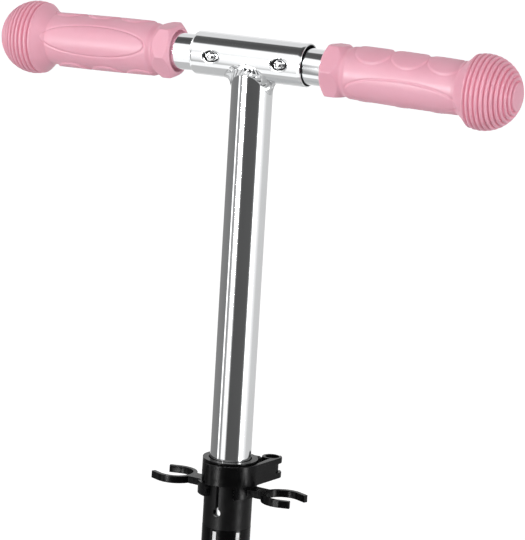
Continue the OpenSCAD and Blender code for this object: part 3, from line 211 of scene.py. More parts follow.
def grit_material():
    s = Shader("grip_tape_grit", Roughness=0.92, IOR=1.5)
    grains = s.node("TexVoronoi", Vector=s.coords, Scale=1500.0).outputs["Distance"]
    patches = s.noise(35, 5)
    tones = s.mixed(s.spread(grains, 0, 1, 0.0, 0.7), (0.050, 0.050, 0.053), (0.012, 0.012, 0.013))
    s.to("Base Color", tones)
    s.to("Roughness", s.spread(patches, 0.82, 0.98))
    return s.bump((grains, 0.8, 0.0005), (s.noise(4000, 2), 0.4, 0.0002)).material


X_LINES = (0, 0, 0)
Y_LINES = (0, 0, math.radians(-90))
COLUMN_LINES = (0, math.radians(90), 0)
SILVER = (0.90, 0.91, 0.92)
MATERIALS = {
    "grip_pink": pink_material("grip_rubber", (0.94, 0.465, 0.575), (0.925, 0.435, 0.545), 0.42),
    "wheel_pink": pink_material("wheel_urethane", (0.90, 0.40, 0.51), (0.87, 0.37, 0.475), 0.30),
    "polished_aluminium": drawn_metal("polished_bar", SILVER, 0.07, X_LINES),
    "black_paint": painted("black_powder_coat", (0.0035, 0.0035, 0.0037), 0.36),
    "black_cast": painted("black_casting", (0.0025, 0.0025, 0.0027), 0.2, 0.04),
    "black_plastic": moulded("black_nylon", (0.0025, 0.0025, 0.0028), 0.22),
    "nylon": moulded("natural_nylon", (0.72, 0.70, 0.62), 0.45, 1.5),
    "headset_black": painted("headset_lacquer", (0.003, 0.003, 0.0032), 0.16, 0.03),
    "zinc": plated("zinc_plate", (0.66, 0.67, 0.69), 0.28),
    "bearing_steel": plated("bearing_steel", (0.72, 0.73, 0.75), 0.16),
    "deck_aluminium": drawn_metal("deck_extrusion", (0.60, 0.605, 0.615), 0.32, Y_LINES, 0.12),
    "grip_tape": grit_material(),
}
COLUMN_SILVER = drawn_metal("polished_column", SILVER, 0.065, COLUMN_LINES)
# Near-black paint for the inside of the sleeve and the walls of its button holes: a painted shade, where the real
# bare metal only falls dark
BORE_PAINTED_SHADE = painted("tube_inside_painted_shade", (0.012, 0.012, 0.012), 0.6, 0.1)
BAND_BLACK = painted("band_film", (0.002, 0.002, 0.0022), 0.16, 0.02)
WELD_METAL = plated("weld_metal", (0.74, 0.75, 0.76), 0.14)
STRIPE_WHITE = painted("stripe_film", (0.66, 0.66, 0.66), 0.35, 0.02, 1.5)


# ---------------------------------------------------------------- mesh tools

# The share of a side that one rounded corner may take up
CORNER_SHARE = 0.49
# Points closer than this, in metres, are one point; faces flatter than this to each other are one face
SAME_SPOT, SAME_PLANE = 2e-6, math.radians(0.4)
# Edges sharper than the first are shaded sharp, and eased rounds those sharper than the second
SHARP_ANGLE, EASED_ANGLE = math.radians(40), math.radians(38)
EASED_STEPS = 2


def piece(name, mesh, material, node=None, body=None):
    """Links a mesh as a piece that rides on a body and, where a node is named, stands for it."""
    obj = bpy.data.objects.new(name, mesh)
    bpy.context.scene.collection.objects.link(obj)
    mesh.materials.clear()
    mesh.materials.append(material)
    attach(obj, body or BODY_OF[node])
    if node:
        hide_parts(node)
    return obj


def mesh_of(name, points, faces, place=Matrix.Identity(4), smooth=True):
    mesh = bpy.data.meshes.new(name)
    mesh.from_pydata([tuple(place @ Vector(p)) for p in points], [], faces)
    mesh.validate()
    bm = bmesh.new()
    bm.from_mesh(mesh)
    bmesh.ops.recalc_face_normals(bm, faces=bm.faces)
    bm.to_mesh(mesh)
    bm.free()
    mesh.polygons.foreach_set("use_smooth", [smooth] * len(mesh.polygons))
    return mesh


def wrapped_grid(rows, columns, point, close_rows=False, cap_ends=False):
    """Points and faces of a grid whose columns wrap round. Rows may wrap too, or end in caps."""
    points = [point(i, j) for i in range(rows) for j in range(columns)]
    faces = []
    for i in range(rows if close_rows else rows - 1):
        a, b = i * columns, (i + 1) % rows * columns
        for j in range(columns):
            k = (j + 1) % columns
            faces.append((a + j, a + k, b + k, b + j))
    if cap_ends:
        faces.append(tuple(range(columns)))
        faces.append(tuple(reversed(range((rows - 1) * columns, rows * columns))))
    return points, faces


def rounded(corners, radius, steps):
    """A closed outline with every corner turned into a short curve."""
    out = []
    for i, corner in enumerate(corners):
        here = Vector(corner)
        before = Vector(corners[i - 1]) - here
        after = Vector(corners[(i + 1) % len(corners)]) - here
        longest = CORNER_SHARE * min(before.length, after.length)
        reach = min(radius / math.tan(before.angle(after) / 2), longest)
        a, b = here + before.normalized() * reach, here + after.normalized() * reach
        for k in range(steps + 1):
            t = k / steps
            out.append(tuple((1 - t) ** 2 * a + 2 * t * (1 - t) * here + t * t * b))
    return out


def turned(name, outline, place, segments):
    """A closed (radius, height) outline in millimetres turned about the place's Z axis."""
    count = len(outline)

    def point(i, j):
        r, z = outline[i]
        a = 2 * math.pi * j / segments
        return (r * math.cos(a) * MM, r * math.sin(a) * MM, z * MM)

    points, faces = wrapped_grid(count, segments, point, close_rows=True)
    return mesh_of(name, points, faces, place)


def tube_outline(r_out, r_in, z0, z1, edge):
    return rounded([(r_in, z0), (r_out, z0), (r_out, z1), (r_in, z1)], edge, 3)


def welded_copy(node):
    """A copy of a CAD node's mesh with its faces joined up and its flat parts made whole."""
    mesh = NODES[node].data.copy()
    mesh.name = node + "_shape"
    for layer in [a.name for a in mesh.attributes if a.name in ("custom_normal", "sharp_edge", "sharp_face")]:
        mesh.attributes.remove(mesh.attributes[layer])
    bm = bmesh.new()
    bm.from_mesh(mesh)
    bmesh.ops.remove_doubles(bm, verts=bm.verts, dist=SAME_SPOT)
    bmesh.ops.dissolve_limit(bm, angle_limit=SAME_PLANE, verts=bm.verts, edges=bm.edges)
    bmesh.ops.recalc_face_normals(bm, faces=bm.faces)
    bm.to_mesh(mesh)
    bm.free()
    mesh.polygons.foreach_set("use_smooth", [True] * len(mesh.polygons))
    return mesh


def eased(node, width):
    """Stands for a CAD node with the same shape, its hard edges rounded by a small bevel."""
    obj = piece(node + "_eased", welded_copy(node), MATERIALS[SLOT_OF[node]], node)
    bevel = obj.modifiers.new("edges", "BEVEL")
    bevel.width = width
    bevel.segments = EASED_STEPS
    bevel.limit_method = "ANGLE"
    bevel.angle_limit = EASED_ANGLE
    bevel.harden_normals = True
    bevel.use_clamp_overlap = True


def smooth_step(x):
    """A smooth step from 0 to 1."""
    x = min(max(x, 0.0), 1.0)
    return x * x * (3 - 2 * x)


# ---------------------------------------------------------------- grips

# The six-sided collar: where it ends, half its width over the flats, the cones that cut its two ends
# (a radius at the face, and slopes), how softly they meet, and how far in the face takes its outline
COLLAR_END = 62.8
COLLAR_FLAT = 15.25
COLLAR_FACE_R, COLLAR_FRONT_SLOPE, COLLAR_REAR_SLOPE = 14.0, 1.44, 0.68
COLLAR_SOFT = 0.13
COLLAR_LIP = 0.15
# The barrel: a waist behind the collar, a slight swell and a dip ahead of the flare
WAIST_R, WAIST_LEN, SHOULDER_LEN = 14.6, 0.5, 3.4
GRIP_R = 15.6
BARREL = 0.3
DIP_DEPTH, DIP_WIDTH = 0.25, 1.2
# The ball end, and the flare that meets it at this turn from its tip
BALL_X = 150.0
BALL_R = 22.5
NECK_ANGLE = 106.0
NECK_X = BALL_X + BALL_R * math.cos(math.radians(NECK_ANGLE))
FLARE_LEN, FLARE_POWER = 7.5, 1.3
# The rings: turns of the first and last groove from the tip, and the disc inside them
FIRST_GROOVE = 101.5
LAST_GROOVE = 24.5
GROOVES = 11
GROOVE_PITCH = (FIRST_GROOVE - LAST_GROOVE) / (GROOVES - 1)
GROOVE_DEPTH = 1.5
GROOVE_WIDTH = 0.55
RIDGE_ROUND = 0.35
DISC_DROP = 0.25
# The oval palm panel with the groove round it, and the rows of finger pads: turn from the palm, places
OVAL = dict(x=103.0, half=36.0, wide=9.6, rise=0.35, edge=0.9, groove=0.55, groove_half=0.5)
PAD = dict(half=11.6, wide=9.9, rise=0.95, edge=0.7, reach=3.0)
PAD_ROWS = ((100.0, (81.2, 104.2, 127.4)), (-100.0, (73.4, 97.5, 121.2)))
# How far outside its ellipse a panel or pad starts to rise
RELIEF_START = 0.3
# The relief fades in behind the collar and out ahead of the ball
FADE_START, FADE_IN, FADE_OUT = 0.8, 2.0, 3.0
# The mouth from the bore outwards: how far in from the collar's face, and the radius
MOUTH_R = 12.7
MOUTH = (
    (5.2, HANDLE_R + SEAT), (5.0, HANDLE_R + 0.3), (5.0, MOUTH_R - 0.3), (4.6, MOUTH_R), (0.5, MOUTH_R),
    (0.12, MOUTH_R + 0.15), (0.0, MOUTH_R + 0.45),
)
# The skin's rows of points: shares of the way out over the collar's face, and steps in millimetres
FACE_SHARES = (0.5, 0.85)
COLLAR_ROWS = dict(first=0.12, step=0.3)
BODY_ROWS = dict(first=0.25, last=0.1, step=0.36)
# Steps in degrees behind the rings and on the disc, rows to a ring, and the turns that end the tip
BACK_STEP, DISC_STEP, RING_ROWS = 2.2, 2.0, 14
DISC_END, TIP_ANGLE = 1.0, 0.06
# The small ring that closes the bore's inner end
POLE_R = 0.02
GRIP_SEGMENTS = 216


def ellipse_gap(u, v, half, wide):
    """Distance outside an ellipse, about right near its edge and negative inside."""
    q = math.hypot(u / half, v / wide)
    if q < 1e-6:
        return -wide
    slope = math.hypot(u / half ** 2, v / wide ** 2) / q
    return (q - 1) / slope


def wrap_angle(a):
    return (a + 180) % 360 - 180


def collar_radius(x, angle, start, turn):
    """The six-sided collar, one corner at this turn, cut by a cone at each end, its edges a little round."""
    flat = COLLAR_FLAT / math.cos(math.radians((angle - turn) % 60 - 30))
    front = COLLAR_FACE_R + COLLAR_FRONT_SLOPE * (x - start)
    rear = WAIST_R + COLLAR_REAR_SLOPE * (COLLAR_END - x)
    total = sum(math.exp(-(r - COLLAR_FLAT) / COLLAR_SOFT) for r in (flat, front, rear))
    return COLLAR_FLAT - COLLAR_SOFT * math.log(total)


def body_detail(x, angle, palm):
    """What stands proud of the grip's barrel: the oval palm panel and two rows of finger pads."""
    v = math.radians(wrap_angle(angle - palm)) * GRIP_R
    gap = ellipse_gap(x - OVAL["x"], v, OVAL["half"], OVAL["wide"])
    rise = OVAL["rise"] * smooth_step((RELIEF_START - gap) / OVAL["edge"])
    rise -= OVAL["groove"] * math.exp(-(gap / OVAL["groove_half"]) ** 2)
    for turn, places in PAD_ROWS:
        v = math.radians(wrap_angle(angle - palm - turn)) * GRIP_R
        if abs(v) > PAD["wide"] + PAD["reach"]:
            continue
        best = min(ellipse_gap(x - place, v, PAD["half"], PAD["wide"]) for place in places)
        rise += PAD["rise"] * smooth_step((RELIEF_START - best) / PAD["edge"])
    return rise


def ball_angles():
    """Angles from the tip of the ball for its rows of points, closer together over the rings."""
    ringed, smooth = FIRST_GROOVE + GROOVE_PITCH / 2, LAST_GROOVE - GROOVE_PITCH / 2
    back = list(np.arange(NECK_ANGLE, ringed, -BACK_STEP))
    rings = list(np.arange(ringed, smooth, -GROOVE_PITCH / RING_ROWS))
    return back + rings + list(np.arange(smooth, DISC_END, -DISC_STEP)) + [TIP_ANGLE]


def grip_rows(start):
    """The rows of the grip's skin from the bore round to the end: (kind, x, value)."""
    rows = [("ring", BALL_X, POLE_R), ("ring", BALL_X, HANDLE_R + SEAT)]
    rows += [("ring", start + depth, r) for depth, r in MOUTH]
    rows += [("face", start, share) for share in FACE_SHARES]
    collar = np.arange(start + COLLAR_ROWS["first"], COLLAR_END, COLLAR_ROWS["step"])
    body = np.arange(COLLAR_END + BODY_ROWS["first"], NECK_X - BODY_ROWS["last"], BODY_ROWS["step"])
    rows += [("collar", x, 0) for x in collar] + [("body", x, 0) for x in body]
    return rows + [("ball", a, 0) for a in ball_angles()]


def ball_radius(a):
    """The ball's radius at this angle from its tip, with its grooves and rounded ridges."""
    index = round((FIRST_GROOVE - a) / GROOVE_PITCH)
    if not 0 <= index < GROOVES:
        return BALL_R - (DISC_DROP if a < LAST_GROOVE else 0)
    off = math.radians(a - (FIRST_GROOVE - index * GROOVE_PITCH)) * BALL_R
    ridge = 1 - abs(off) / (math.radians(GROOVE_PITCH) * BALL_R / 2)
    return BALL_R - GROOVE_DEPTH * math.exp(-(off / GROOVE_WIDTH) ** 2) - RIDGE_ROUND * ridge ** 2


def neck_radius(x):
    """The barrel: a waist at the collar, a shoulder, a slight swell and a flare that runs up to the ball."""
    neck_r = BALL_R * math.sin(math.radians(NECK_ANGLE))
    flare_x = NECK_X - FLARE_LEN
    waist = (GRIP_R - WAIST_R) * (1 - smooth_step((x - COLLAR_END - WAIST_LEN) / SHOULDER_LEN))
    swell = BARREL * math.sin(math.pi * min(max((x - COLLAR_END) / (flare_x - COLLAR_END), 0), 1))
    dip = DIP_DEPTH * math.exp(-((x - flare_x) / DIP_WIDTH) ** 2)
    lift = (neck_r - GRIP_R) * max((x - flare_x) / FLARE_LEN, 0) ** FLARE_POWER
    return GRIP_R - waist + swell - dip + lift


def grip(node, side, start, collar_turn, palm):
    """One grip, from its collar's face outwards. Turns are in degrees from the bar's front, upwards."""
    rows = grip_rows(start)

    def skin(i, j):
        kind, x, value = rows[i]
        angle = 360.0 * j / GRIP_SEGMENTS
        if kind == "ring":
            r = value
        elif kind == "face":
            r = MOUTH_R + value * (collar_radius(start + COLLAR_LIP, angle, start, collar_turn) - MOUTH_R)
        elif kind == "collar":
            r = collar_radius(x, angle, start, collar_turn)
        elif kind == "body":
            fade = smooth_step((x - COLLAR_END - FADE_START) / FADE_IN)
            fade *= smooth_step((NECK_X - FADE_OUT - x) / FADE_OUT)
            r = neck_radius(x) + fade * body_detail(x, angle, palm)
        else:
            a = math.radians(x)
            reach = ball_radius(x)
            x, r = BALL_X + reach * math.cos(a), reach * math.sin(a)
        a = math.radians(angle)
        return (side * x * MM, -r * math.cos(a) * MM, r * math.sin(a) * MM)

    points, faces = wrapped_grid(len(rows), GRIP_SEGMENTS, skin, cap_ends=True)
    mesh = mesh_of(node + "_skin", points, faces, side_of_bar(side))
    piece(node + "_skin", mesh, MATERIALS["grip_pink"], node)


grip("grip_left", 1, 49.8, 1, -31)
grip("grip_right", -1, 50.4, -10, 10)


# ---------------------------------------------------------------- handle tubes, sleeve and weld

HANDLE_EDGE, HANDLE_SEGMENTS = 0.35, 144

for side, name in ((1, "left"), (-1, "right")):
    node = "handle_tube_" + name
    outline = tube_outline(HANDLE_R, HANDLE_BORE, HANDLE_START, HANDLE_END, HANDLE_EDGE)
    along = side_of_bar(side) @ Matrix.Rotation(math.radians(90 * side), 4, "Y")
    mesh = turned(node, outline, along, HANDLE_SEGMENTS)
    piece(node + "_polished", mesh, MATERIALS["polished_aluminium"], node)


# The dimple round a button: its half size along and round the sleeve, depth, and the share that is flat
DIMPLE = dict(x=6.3, v=4.5, depth=1.5, flat=0.58)
# The button's hole and its rough countersink: height from the bar's axis, half width, half height
HOLE_CUT = ((8.0, 3.0, 3.0), (11.25, 3.0, 3.0), (11.85, 5.1, 3.4), (16.0, 5.3, 3.5))
HOLE_POINTS = 64
# The sleeve's wider mouth: radius and length
MOUTH_STEP_R, MOUTH_STEP = 12.25, 2.5
# The skin's rows lie close together this far from a button, with a gap to the coarse ones, and its
# columns lie close together this many degrees from the front
NEAR_REACH, NEAR_STEP, NEAR_GAP = 8.0, 0.22, 0.5
FAR_END, FAR_STEP = 35.5, 2.0
FRONT_HALF, FRONT_STEP, ROUND_STEP = 36.0, 0.8, 4.0


def dimple_drop(x, v):
    """How far the sleeve is pressed in round a snap button."""
    q = min(math.hypot((x - s * BUTTON_X) / DIMPLE["x"], v / DIMPLE["v"]) for s in (-1, 1))
    return DIMPLE["depth"] * smooth_step((1 - q) / (1 - DIMPLE["flat"]))


def sleeve():
    """The T's cross tube: a pressed dimple and a hole round each snap button."""
    offsets = np.arange(-NEAR_REACH, NEAR_REACH + 0.01, NEAR_STEP)
    near = [s * BUTTON_X + d for s in (-1, 1) for d in offsets]
    spread = np.arange(-FAR_END, FAR_END + 0.1, FAR_STEP)
    far = [x for x in spread if min(abs(x - BUTTON_X), abs(x + BUTTON_X)) > NEAR_REACH + NEAR_GAP]
    edge = [(SLEEVE_HALF - 0.05, SLEEVE_R - 0.3), (SLEEVE_HALF - 0.15, SLEEVE_R - 0.1),
            (SLEEVE_HALF - 0.45, SLEEVE_R)]
    mouth = [(SLEEVE_HALF - 0.05, MOUTH_STEP_R + 0.1), (SLEEVE_HALF - 0.2, MOUTH_STEP_R),
             (SLEEVE_HALF - MOUTH_STEP, MOUTH_STEP_R), (SLEEVE_HALF - MOUTH_STEP - 0.3, SLEEVE_BORE)]
    skin_rows = [(x, SLEEVE_R) for x in sorted(near + far)]
    half = edge[::-1] + mouth
    rows = [(-x, r) for x, r in half[::-1]] + skin_rows + half
    first_skin = len(half)
    angles = list(np.arange(-FRONT_HALF, FRONT_HALF + 0.01, FRONT_STEP))
    angles += list(np.arange(FRONT_HALF + ROUND_STEP, 360 - FRONT_HALF - ROUND_STEP, ROUND_STEP))

    def skin(i, j):
        x, r = rows[i]
        angle = angles[j]
        if first_skin <= i < first_skin + len(skin_rows):
            r -= dimple_drop(x, math.radians(wrap_angle(angle)) * SLEEVE_R)
        a = math.radians(angle)
        return (x * MM, -r * math.cos(a) * MM, r * math.sin(a) * MM)

    points, faces = wrapped_grid(len(rows), len(angles), skin, close_rows=True)
    mesh = mesh_of("t_sleeve", points, faces, BAR)
    obj = piece("t_sleeve_pressed", mesh, MATERIALS["polished_aluminium"], "t_sleeve")
    # the bore and its two stepped mouths, the first and last rows of faces, aren't polished: they are painted
    # near-black, a painted shade for the dark inside of the tube
    mesh.materials.append(BORE_PAINTED_SHADE)
    steps = len(mouth) - 2
    for face in mesh.polygons:
        row = face.index // len(angles)
        face.material_index = int(row < steps or row >= len(rows) - steps - 1)
    cut_holes(obj)


def cut_holes(obj):
    """Cuts the two button holes into the front of the bar and keeps the result as plain mesh."""
    points, faces = [], []
    for middle_x in (-BUTTON_X, BUTTON_X):

        def skin(i, j):
            height, wide, high = HOLE_CUT[i]
            a = 2 * math.pi * j / HOLE_POINTS
            return ((middle_x + wide * math.cos(a)) * MM, -height * MM, high * math.sin(a) * MM)

        ring_points, ring_faces = wrapped_grid(len(HOLE_CUT), HOLE_POINTS, skin, cap_ends=True)
        faces += [tuple(k + len(points) for k in face) for face in ring_faces]
        points += ring_points
    mesh = mesh_of("cutter", points, faces, BAR)
    # the hole walls take the second material, the near-black painted shade of the bore
    for material in obj.data.materials:
        mesh.materials.append(material)
    mesh.polygons.foreach_set("material_index", [1] * len(mesh.polygons))
    cutter = bpy.data.objects.new("cutter", mesh)
    bpy.context.scene.collection.objects.link(cutter)
    cut = obj.modifiers.new("holes", "BOOLEAN")
    cut.object, cut.solver = cutter, "EXACT"
    baked = bpy.data.meshes.new_from_object(obj.evaluated_get(bpy.context.evaluated_depsgraph_get()))
    obj.modifiers.remove(cut)
    obj.data = baked
    bpy.data.objects.remove(cutter)
    baked.set_sharp_from_angle(angle=SHARP_ANGLE)


sleeve()

# How far the bead climbs the sleeve and how low it reaches on the column, at the front and at the sides
WELD_UP_FRONT, WELD_UP_SIDE = 1.7, 4.5
WELD_TOE_FRONT, WELD_TOE_SIDE = -9.2, -20.6
# How far it bulges, and the share of that which is lost at the sides
WELD_CROWN, WELD_FLATTEN = 1.5, 0.75
# Its scales: how many, their height, how far they bow, the share that rises, the fall and the fade
WELD_RIPPLES, WELD_RIPPLE_H = 27, 0.5
RIPPLE_BOW, RIPPLE_RISE, RIPPLE_FALL, RIPPLE_FADE = 1.3, 0.22, 0.9, 0.6
# How far its hidden back is sunk in the metal, and its rows and columns of points
WELD_SUNK = 0.6
WELD_AROUND, WELD_ACROSS = 576, 15
# How fast the climb grows away from the front, and the steps in which its path is traced
WELD_CLIMB_RATE, WELD_TRACE_STEPS = 3, 10


def saddle_height(r, turn):
    """Height of the sleeve's underside over a point of the column's circle."""
    return -math.sqrt(SLEEVE_R ** 2 - (r * math.sin(turn)) ** 2)


def weld_section(turn):
    """Where the bead starts and ends at this turn, the corner's own point, and the way out of the corner."""
    side = max(abs(math.sin(turn)), 1e-3)
    joint = (COLUMN_R, saddle_height(COLUMN_R, turn))
    up = WELD_UP_FRONT + (WELD_UP_SIDE - WELD_UP_FRONT) * smooth_step(WELD_CLIMB_RATE * math.cos(turn) ** 2)
    t = math.acos(COLUMN_R * side / SLEEVE_R)
    for _ in range(WELD_TRACE_STEPS):
        t -= up / WELD_TRACE_STEPS / (SLEEVE_R * math.hypot(math.sin(t) / side, math.cos(t)))
    upper = (SLEEVE_R * math.cos(t) / side, -SLEEVE_R * math.sin(t))
    toe = WELD_TOE_FRONT + (WELD_TOE_SIDE - WELD_TOE_FRONT) * abs(math.cos(turn)) ** 3
    lower = (COLUMN_R, toe)
    normal = Vector((COLUMN_R * side ** 2, joint[1])).normalized()
    out = (Vector((1, 0)) + normal).normalized()
    return Vector(upper), Vector(lower), Vector(joint), out


def weld_bead():
    """The rippled fillet weld in the corner between the column and the sleeve."""
    turns = [2 * math.pi * i / WELD_AROUND for i in range(WELD_AROUND)]
    lengths = [0.0]
    for a, b in zip(turns, turns[1:] + [2 * math.pi]):
        rise = saddle_height(COLUMN_R, b) - saddle_height(COLUMN_R, a)
        lengths.append(lengths[-1] + math.hypot(COLUMN_R * (b - a), rise))
    columns = WELD_ACROSS + 3

    def skin(i, j):
        turn = turns[i]
        upper, lower, joint, out = weld_section(turn)
        if j < WELD_ACROSS:
            t = j / (WELD_ACROSS - 1)
            control = joint + out * WELD_CROWN * (1 - WELD_FLATTEN * math.cos(turn) ** 2)
            spot = (1 - t) ** 2 * upper + 2 * t * (1 - t) * control + t * t * lower
            phase = (WELD_RIPPLES * lengths[i] / lengths[-1] + RIPPLE_BOW * (2 * t - 1) ** 2) % 1.0
            fall = RIPPLE_FALL * smooth_step((phase - RIPPLE_RISE) / (1 - RIPPLE_RISE))
            scale = smooth_step(phase / RIPPLE_RISE) * (1 - fall)
            spot = spot + out * WELD_RIPPLE_H * (scale - 0.5) * math.sin(math.pi * t) ** RIPPLE_FADE
        else:
            back = (lower - Vector((WELD_SUNK, 0)), joint - out, upper + Vector((-WELD_SUNK / 2, WELD_SUNK)))
            spot = back[j - WELD_ACROSS]
        return (spot.x * math.cos(turn) * MM, spot.x * math.sin(turn) * MM, spot.y * MM)

    points, faces = wrapped_grid(WELD_AROUND, columns, skin, close_rows=True)
    piece("t_weld_ripples", mesh_of("t_weld", points, faces, BAR), WELD_METAL, "t_weld")


weld_bead()


# ---------------------------------------------------------------- column

COLUMN_EDGE, COLUMN_SEGMENTS = 0.4, 160


def column():
    """The sliding tube, its top cut to the sleeve's curve."""
    low, _ = along_column("column_tube")
    foot = (low - (BAR.translation - COLUMN.translation).dot(COLUMN_UP)) / MM
    rows = [(COLUMN_BORE, foot), (COLUMN_R - COLUMN_EDGE, foot), (COLUMN_R, foot + COLUMN_EDGE),
            (COLUMN_R, None), (COLUMN_BORE, None)]

    def skin(i, j):
        r, z = rows[i]
        turn = 2 * math.pi * j / COLUMN_SEGMENTS
        if z is None:
            z = saddle_height(r, turn)
        return (r * math.cos(turn) * MM, r * math.sin(turn) * MM, z * MM)

    points, faces = wrapped_grid(len(rows), COLUMN_SEGMENTS, skin, close_rows=True)
    mesh = mesh_of("column_tube", points, faces, BAR)
    mesh.set_sharp_from_angle(angle=SHARP_ANGLE)
    piece("column_tube_polished", mesh, COLUMN_SILVER, "column_tube")


column()

# A plain dark band low on the outer tube, with two white pinstripes
BAND_TOP, BAND_LEN = -289.6, 64.0
STRIPE_TURNS, STRIPE_W, STRIPE_LEN, STRIPE_DROP = (-2.0, 55.0), 2.3, 46.0, 1.2
FOIL, BAND_LIFT, STRIPE_LIFT = 0.08, 0.02, 0.08
# Degrees to a step round the tube, and the fewest steps of a foil
FOIL_STEP, FOIL_LEAST = 3, 3


def foil(name, turns, z0, z1, lift, material):
    """A thin sheet that lies round the outer tube between two turns from its front."""
    inner, outer = OUTER_R + lift, OUTER_R + lift + FOIL
    corners = ((inner, z0), (outer, z0), (outer, z1), (inner, z1))
    sweep = turns[1] - turns[0]
    count = max(FOIL_LEAST, int(sweep / FOIL_STEP))
    whole = sweep == 360

    def skin(i, j):
        r, z = corners[j]
        a = math.radians(turns[0] + sweep * i / count - 90)
        return (r * math.cos(a) * MM, r * math.sin(a) * MM, z * MM)

    rows = count if whole else count + 1
    points, faces = wrapped_grid(rows, len(corners), skin, close_rows=whole, cap_ends=not whole)
    mesh = mesh_of(name, points, faces, BAR)
    mesh.set_sharp_from_angle(angle=SHARP_ANGLE)
    piece(name, mesh, material, body="steering")


foil("tube_band", (-180, 180), BAND_TOP - BAND_LEN, BAND_TOP, BAND_LIFT, BAND_BLACK)
for index, turn in enumerate(STRIPE_TURNS):
    half = math.degrees(STRIPE_W / 2 / OUTER_R)
    top = BAND_TOP - STRIPE_DROP
    name = "tube_stripe_%d" % (index + 1)
    foil(name, (turn - half, turn + half), top - STRIPE_LEN, top, STRIPE_LIFT, STRIPE_WHITE)


# ---------------------------------------------------------------- the rest

# How wide the round on each piece's hard edges is
EDGE_WIDTHS = (
    ("clamp_collar", 0.5), ("clamp_lever", 0.6), ("clip_ring", 0.5), ("clamp_nut", 0.35),
    ("clamp_bolt", 0.3), ("clamp_washer", 0.3), ("clamp_pin", 0.25), ("outer_tube", 0.3), ("fork", 0.8),
    ("neck_strut", 0.8), ("hinge_bracket", 0.6), ("head_tube", 0.4), ("headset_cups", 0.4),
    ("headset_cone", 0.3), ("lock_nut", 0.4), ("lock_washer", 0.2), ("crown_race", 0.3),
    ("fold_lever", 0.8), ("fold_lever_pin", 0.3), ("draw_bolt", 0.4), ("draw_nut", 0.4),
    ("draw_washers", 0.3), ("fold_pivot_bolt", 0.5), ("fold_pivot_nut", 0.4), ("bracket_screws", 0.4),
    ("deck", 0.5), ("deck_caps", 0.5), ("grip_tape", 0.15), ("rear_fork_left", 0.5),
    ("rear_fork_right", 0.5), ("rear_axle", 0.4), ("rear_axle_nut", 0.4), ("rear_spacers", 0.2),
    ("front_axle", 0.4), ("front_axle_nut", 0.4), ("front_spacers", 0.2), ("brake_bracket", 0.3),
    ("brake_pin", 0.3), ("brake_fender", 0.5), ("front_hub", 0.6), ("rear_hub", 0.6), ("front_tyre", 0.8),
    ("rear_tyre", 0.8), ("front_bearings", 0.2), ("rear_bearings", 0.2), ("snap_button_left", 0.15),
    ("snap_button_right", 0.15),
)
for node, width in EDGE_WIDTHS:
    eased(node, width * MM)

for node, obj in NODES.items():
    if not obj.hide_render:
        obj.data.materials.clear()
        obj.data.materials.append(MATERIALS[SLOT_OF[node]])


# ---------------------------------------------------------------- stage, light and camera

# How bright the world is to a matt surface, where 1 is white
AMBIENT = 0.40
# The camera stands here from the crossing of bar and column, and looks this way
CAMERA_FROM_BAR = Vector((0.7924, -1.5609, 0.4378))
CAMERA_RIGHT = Vector((0.893, 0.450, 0.0))
CAMERA_BACK = Vector((0.4278, -0.8490, 0.3100))
SENSOR, LENS = 36.0, 200.48
# Half the floor's side in metres, and the glow that whitens it for the camera and keeps its shadow
FLOOR_HALF, FLOOR_GLOW = 40.0, 0.62


def camera():
    data = bpy.data.cameras.new("camera")
    obj = bpy.data.objects.new("camera", data)
    bpy.context.scene.collection.objects.link(obj)
    bpy.context.scene.camera = obj
    obj.matrix_world = frame_at(BAR.translation + CAMERA_FROM_BAR, CAMERA_RIGHT, CAMERA_BACK)
    data.sensor_width = SENSOR
    data.lens = LENS
    data.clip_start, data.clip_end = 0.05, 100


def floor():
    corners = [(x * FLOOR_HALF, y * FLOOR_HALF, 0) for x, y in ((-1, -1), (1, -1), (1, 1), (-1, 1))]
    mesh = mesh_of("floor", corners, [(0, 1, 2, 3)], smooth=False)
    obj = bpy.data.objects.new("floor", mesh)
    bpy.context.scene.collection.objects.link(obj)
    material = bpy.data.materials.new("pale_floor")
    material.use_nodes = True
    tree = material.node_tree
    main = tree.nodes["Principled BSDF"]
    main.inputs["Base Color"].default_value = (0.80, 0.80, 0.80, 1)
    main.inputs["Roughness"].default_value = 0.9
    main.inputs["Specular IOR Level"].default_value = 0.0
    glow = tree.nodes.new("ShaderNodeEmission")
    rays = tree.nodes.new("ShaderNodeLightPath")
    both = tree.nodes.new("ShaderNodeAddShader")
    strength = tree.nodes.new("ShaderNodeMath")
    strength.operation = "MULTIPLY"
    strength.inputs[1].default_value = FLOOR_GLOW
    tree.links.new(rays.outputs["Is Camera Ray"], strength.inputs[0])
    tree.links.new(strength.outputs[0], glow.inputs["Strength"])
    tree.links.new(main.outputs[0], both.inputs[0])
    tree.links.new(glow.outputs[0], both.inputs[1])
    tree.links.new(both.outputs[0], tree.nodes["Material Output"].inputs["Surface"])
    mesh.materials.append(material)
    obj.visible_glossy = False


# What shiny surfaces see of the studio. By compass angle: bright and dark walls, with one narrow
# strip light; 0 is towards the camera's side and angles grow towards its right.
STUDIO_FACING = math.degrees(math.atan2(CAMERA_BACK.x, -CAMERA_BACK.y))
WALLS = (
    (-160, 0.95), (-152, 0.26), (-79, 0.21), (-75, 2.2), (-72, 2.2), (-69, 0.33), (-59, 0.33), (-54, 1.15),
    (-36, 1.15), (-28, 0.09), (32, 0.10), (40, 0.14), (46, 1.2), (53, 10.0), (60, 10.0), (66, 1.2), (76, 1.0),
    (92, 0.66), (160, 0.62), (176, 0.95),
)
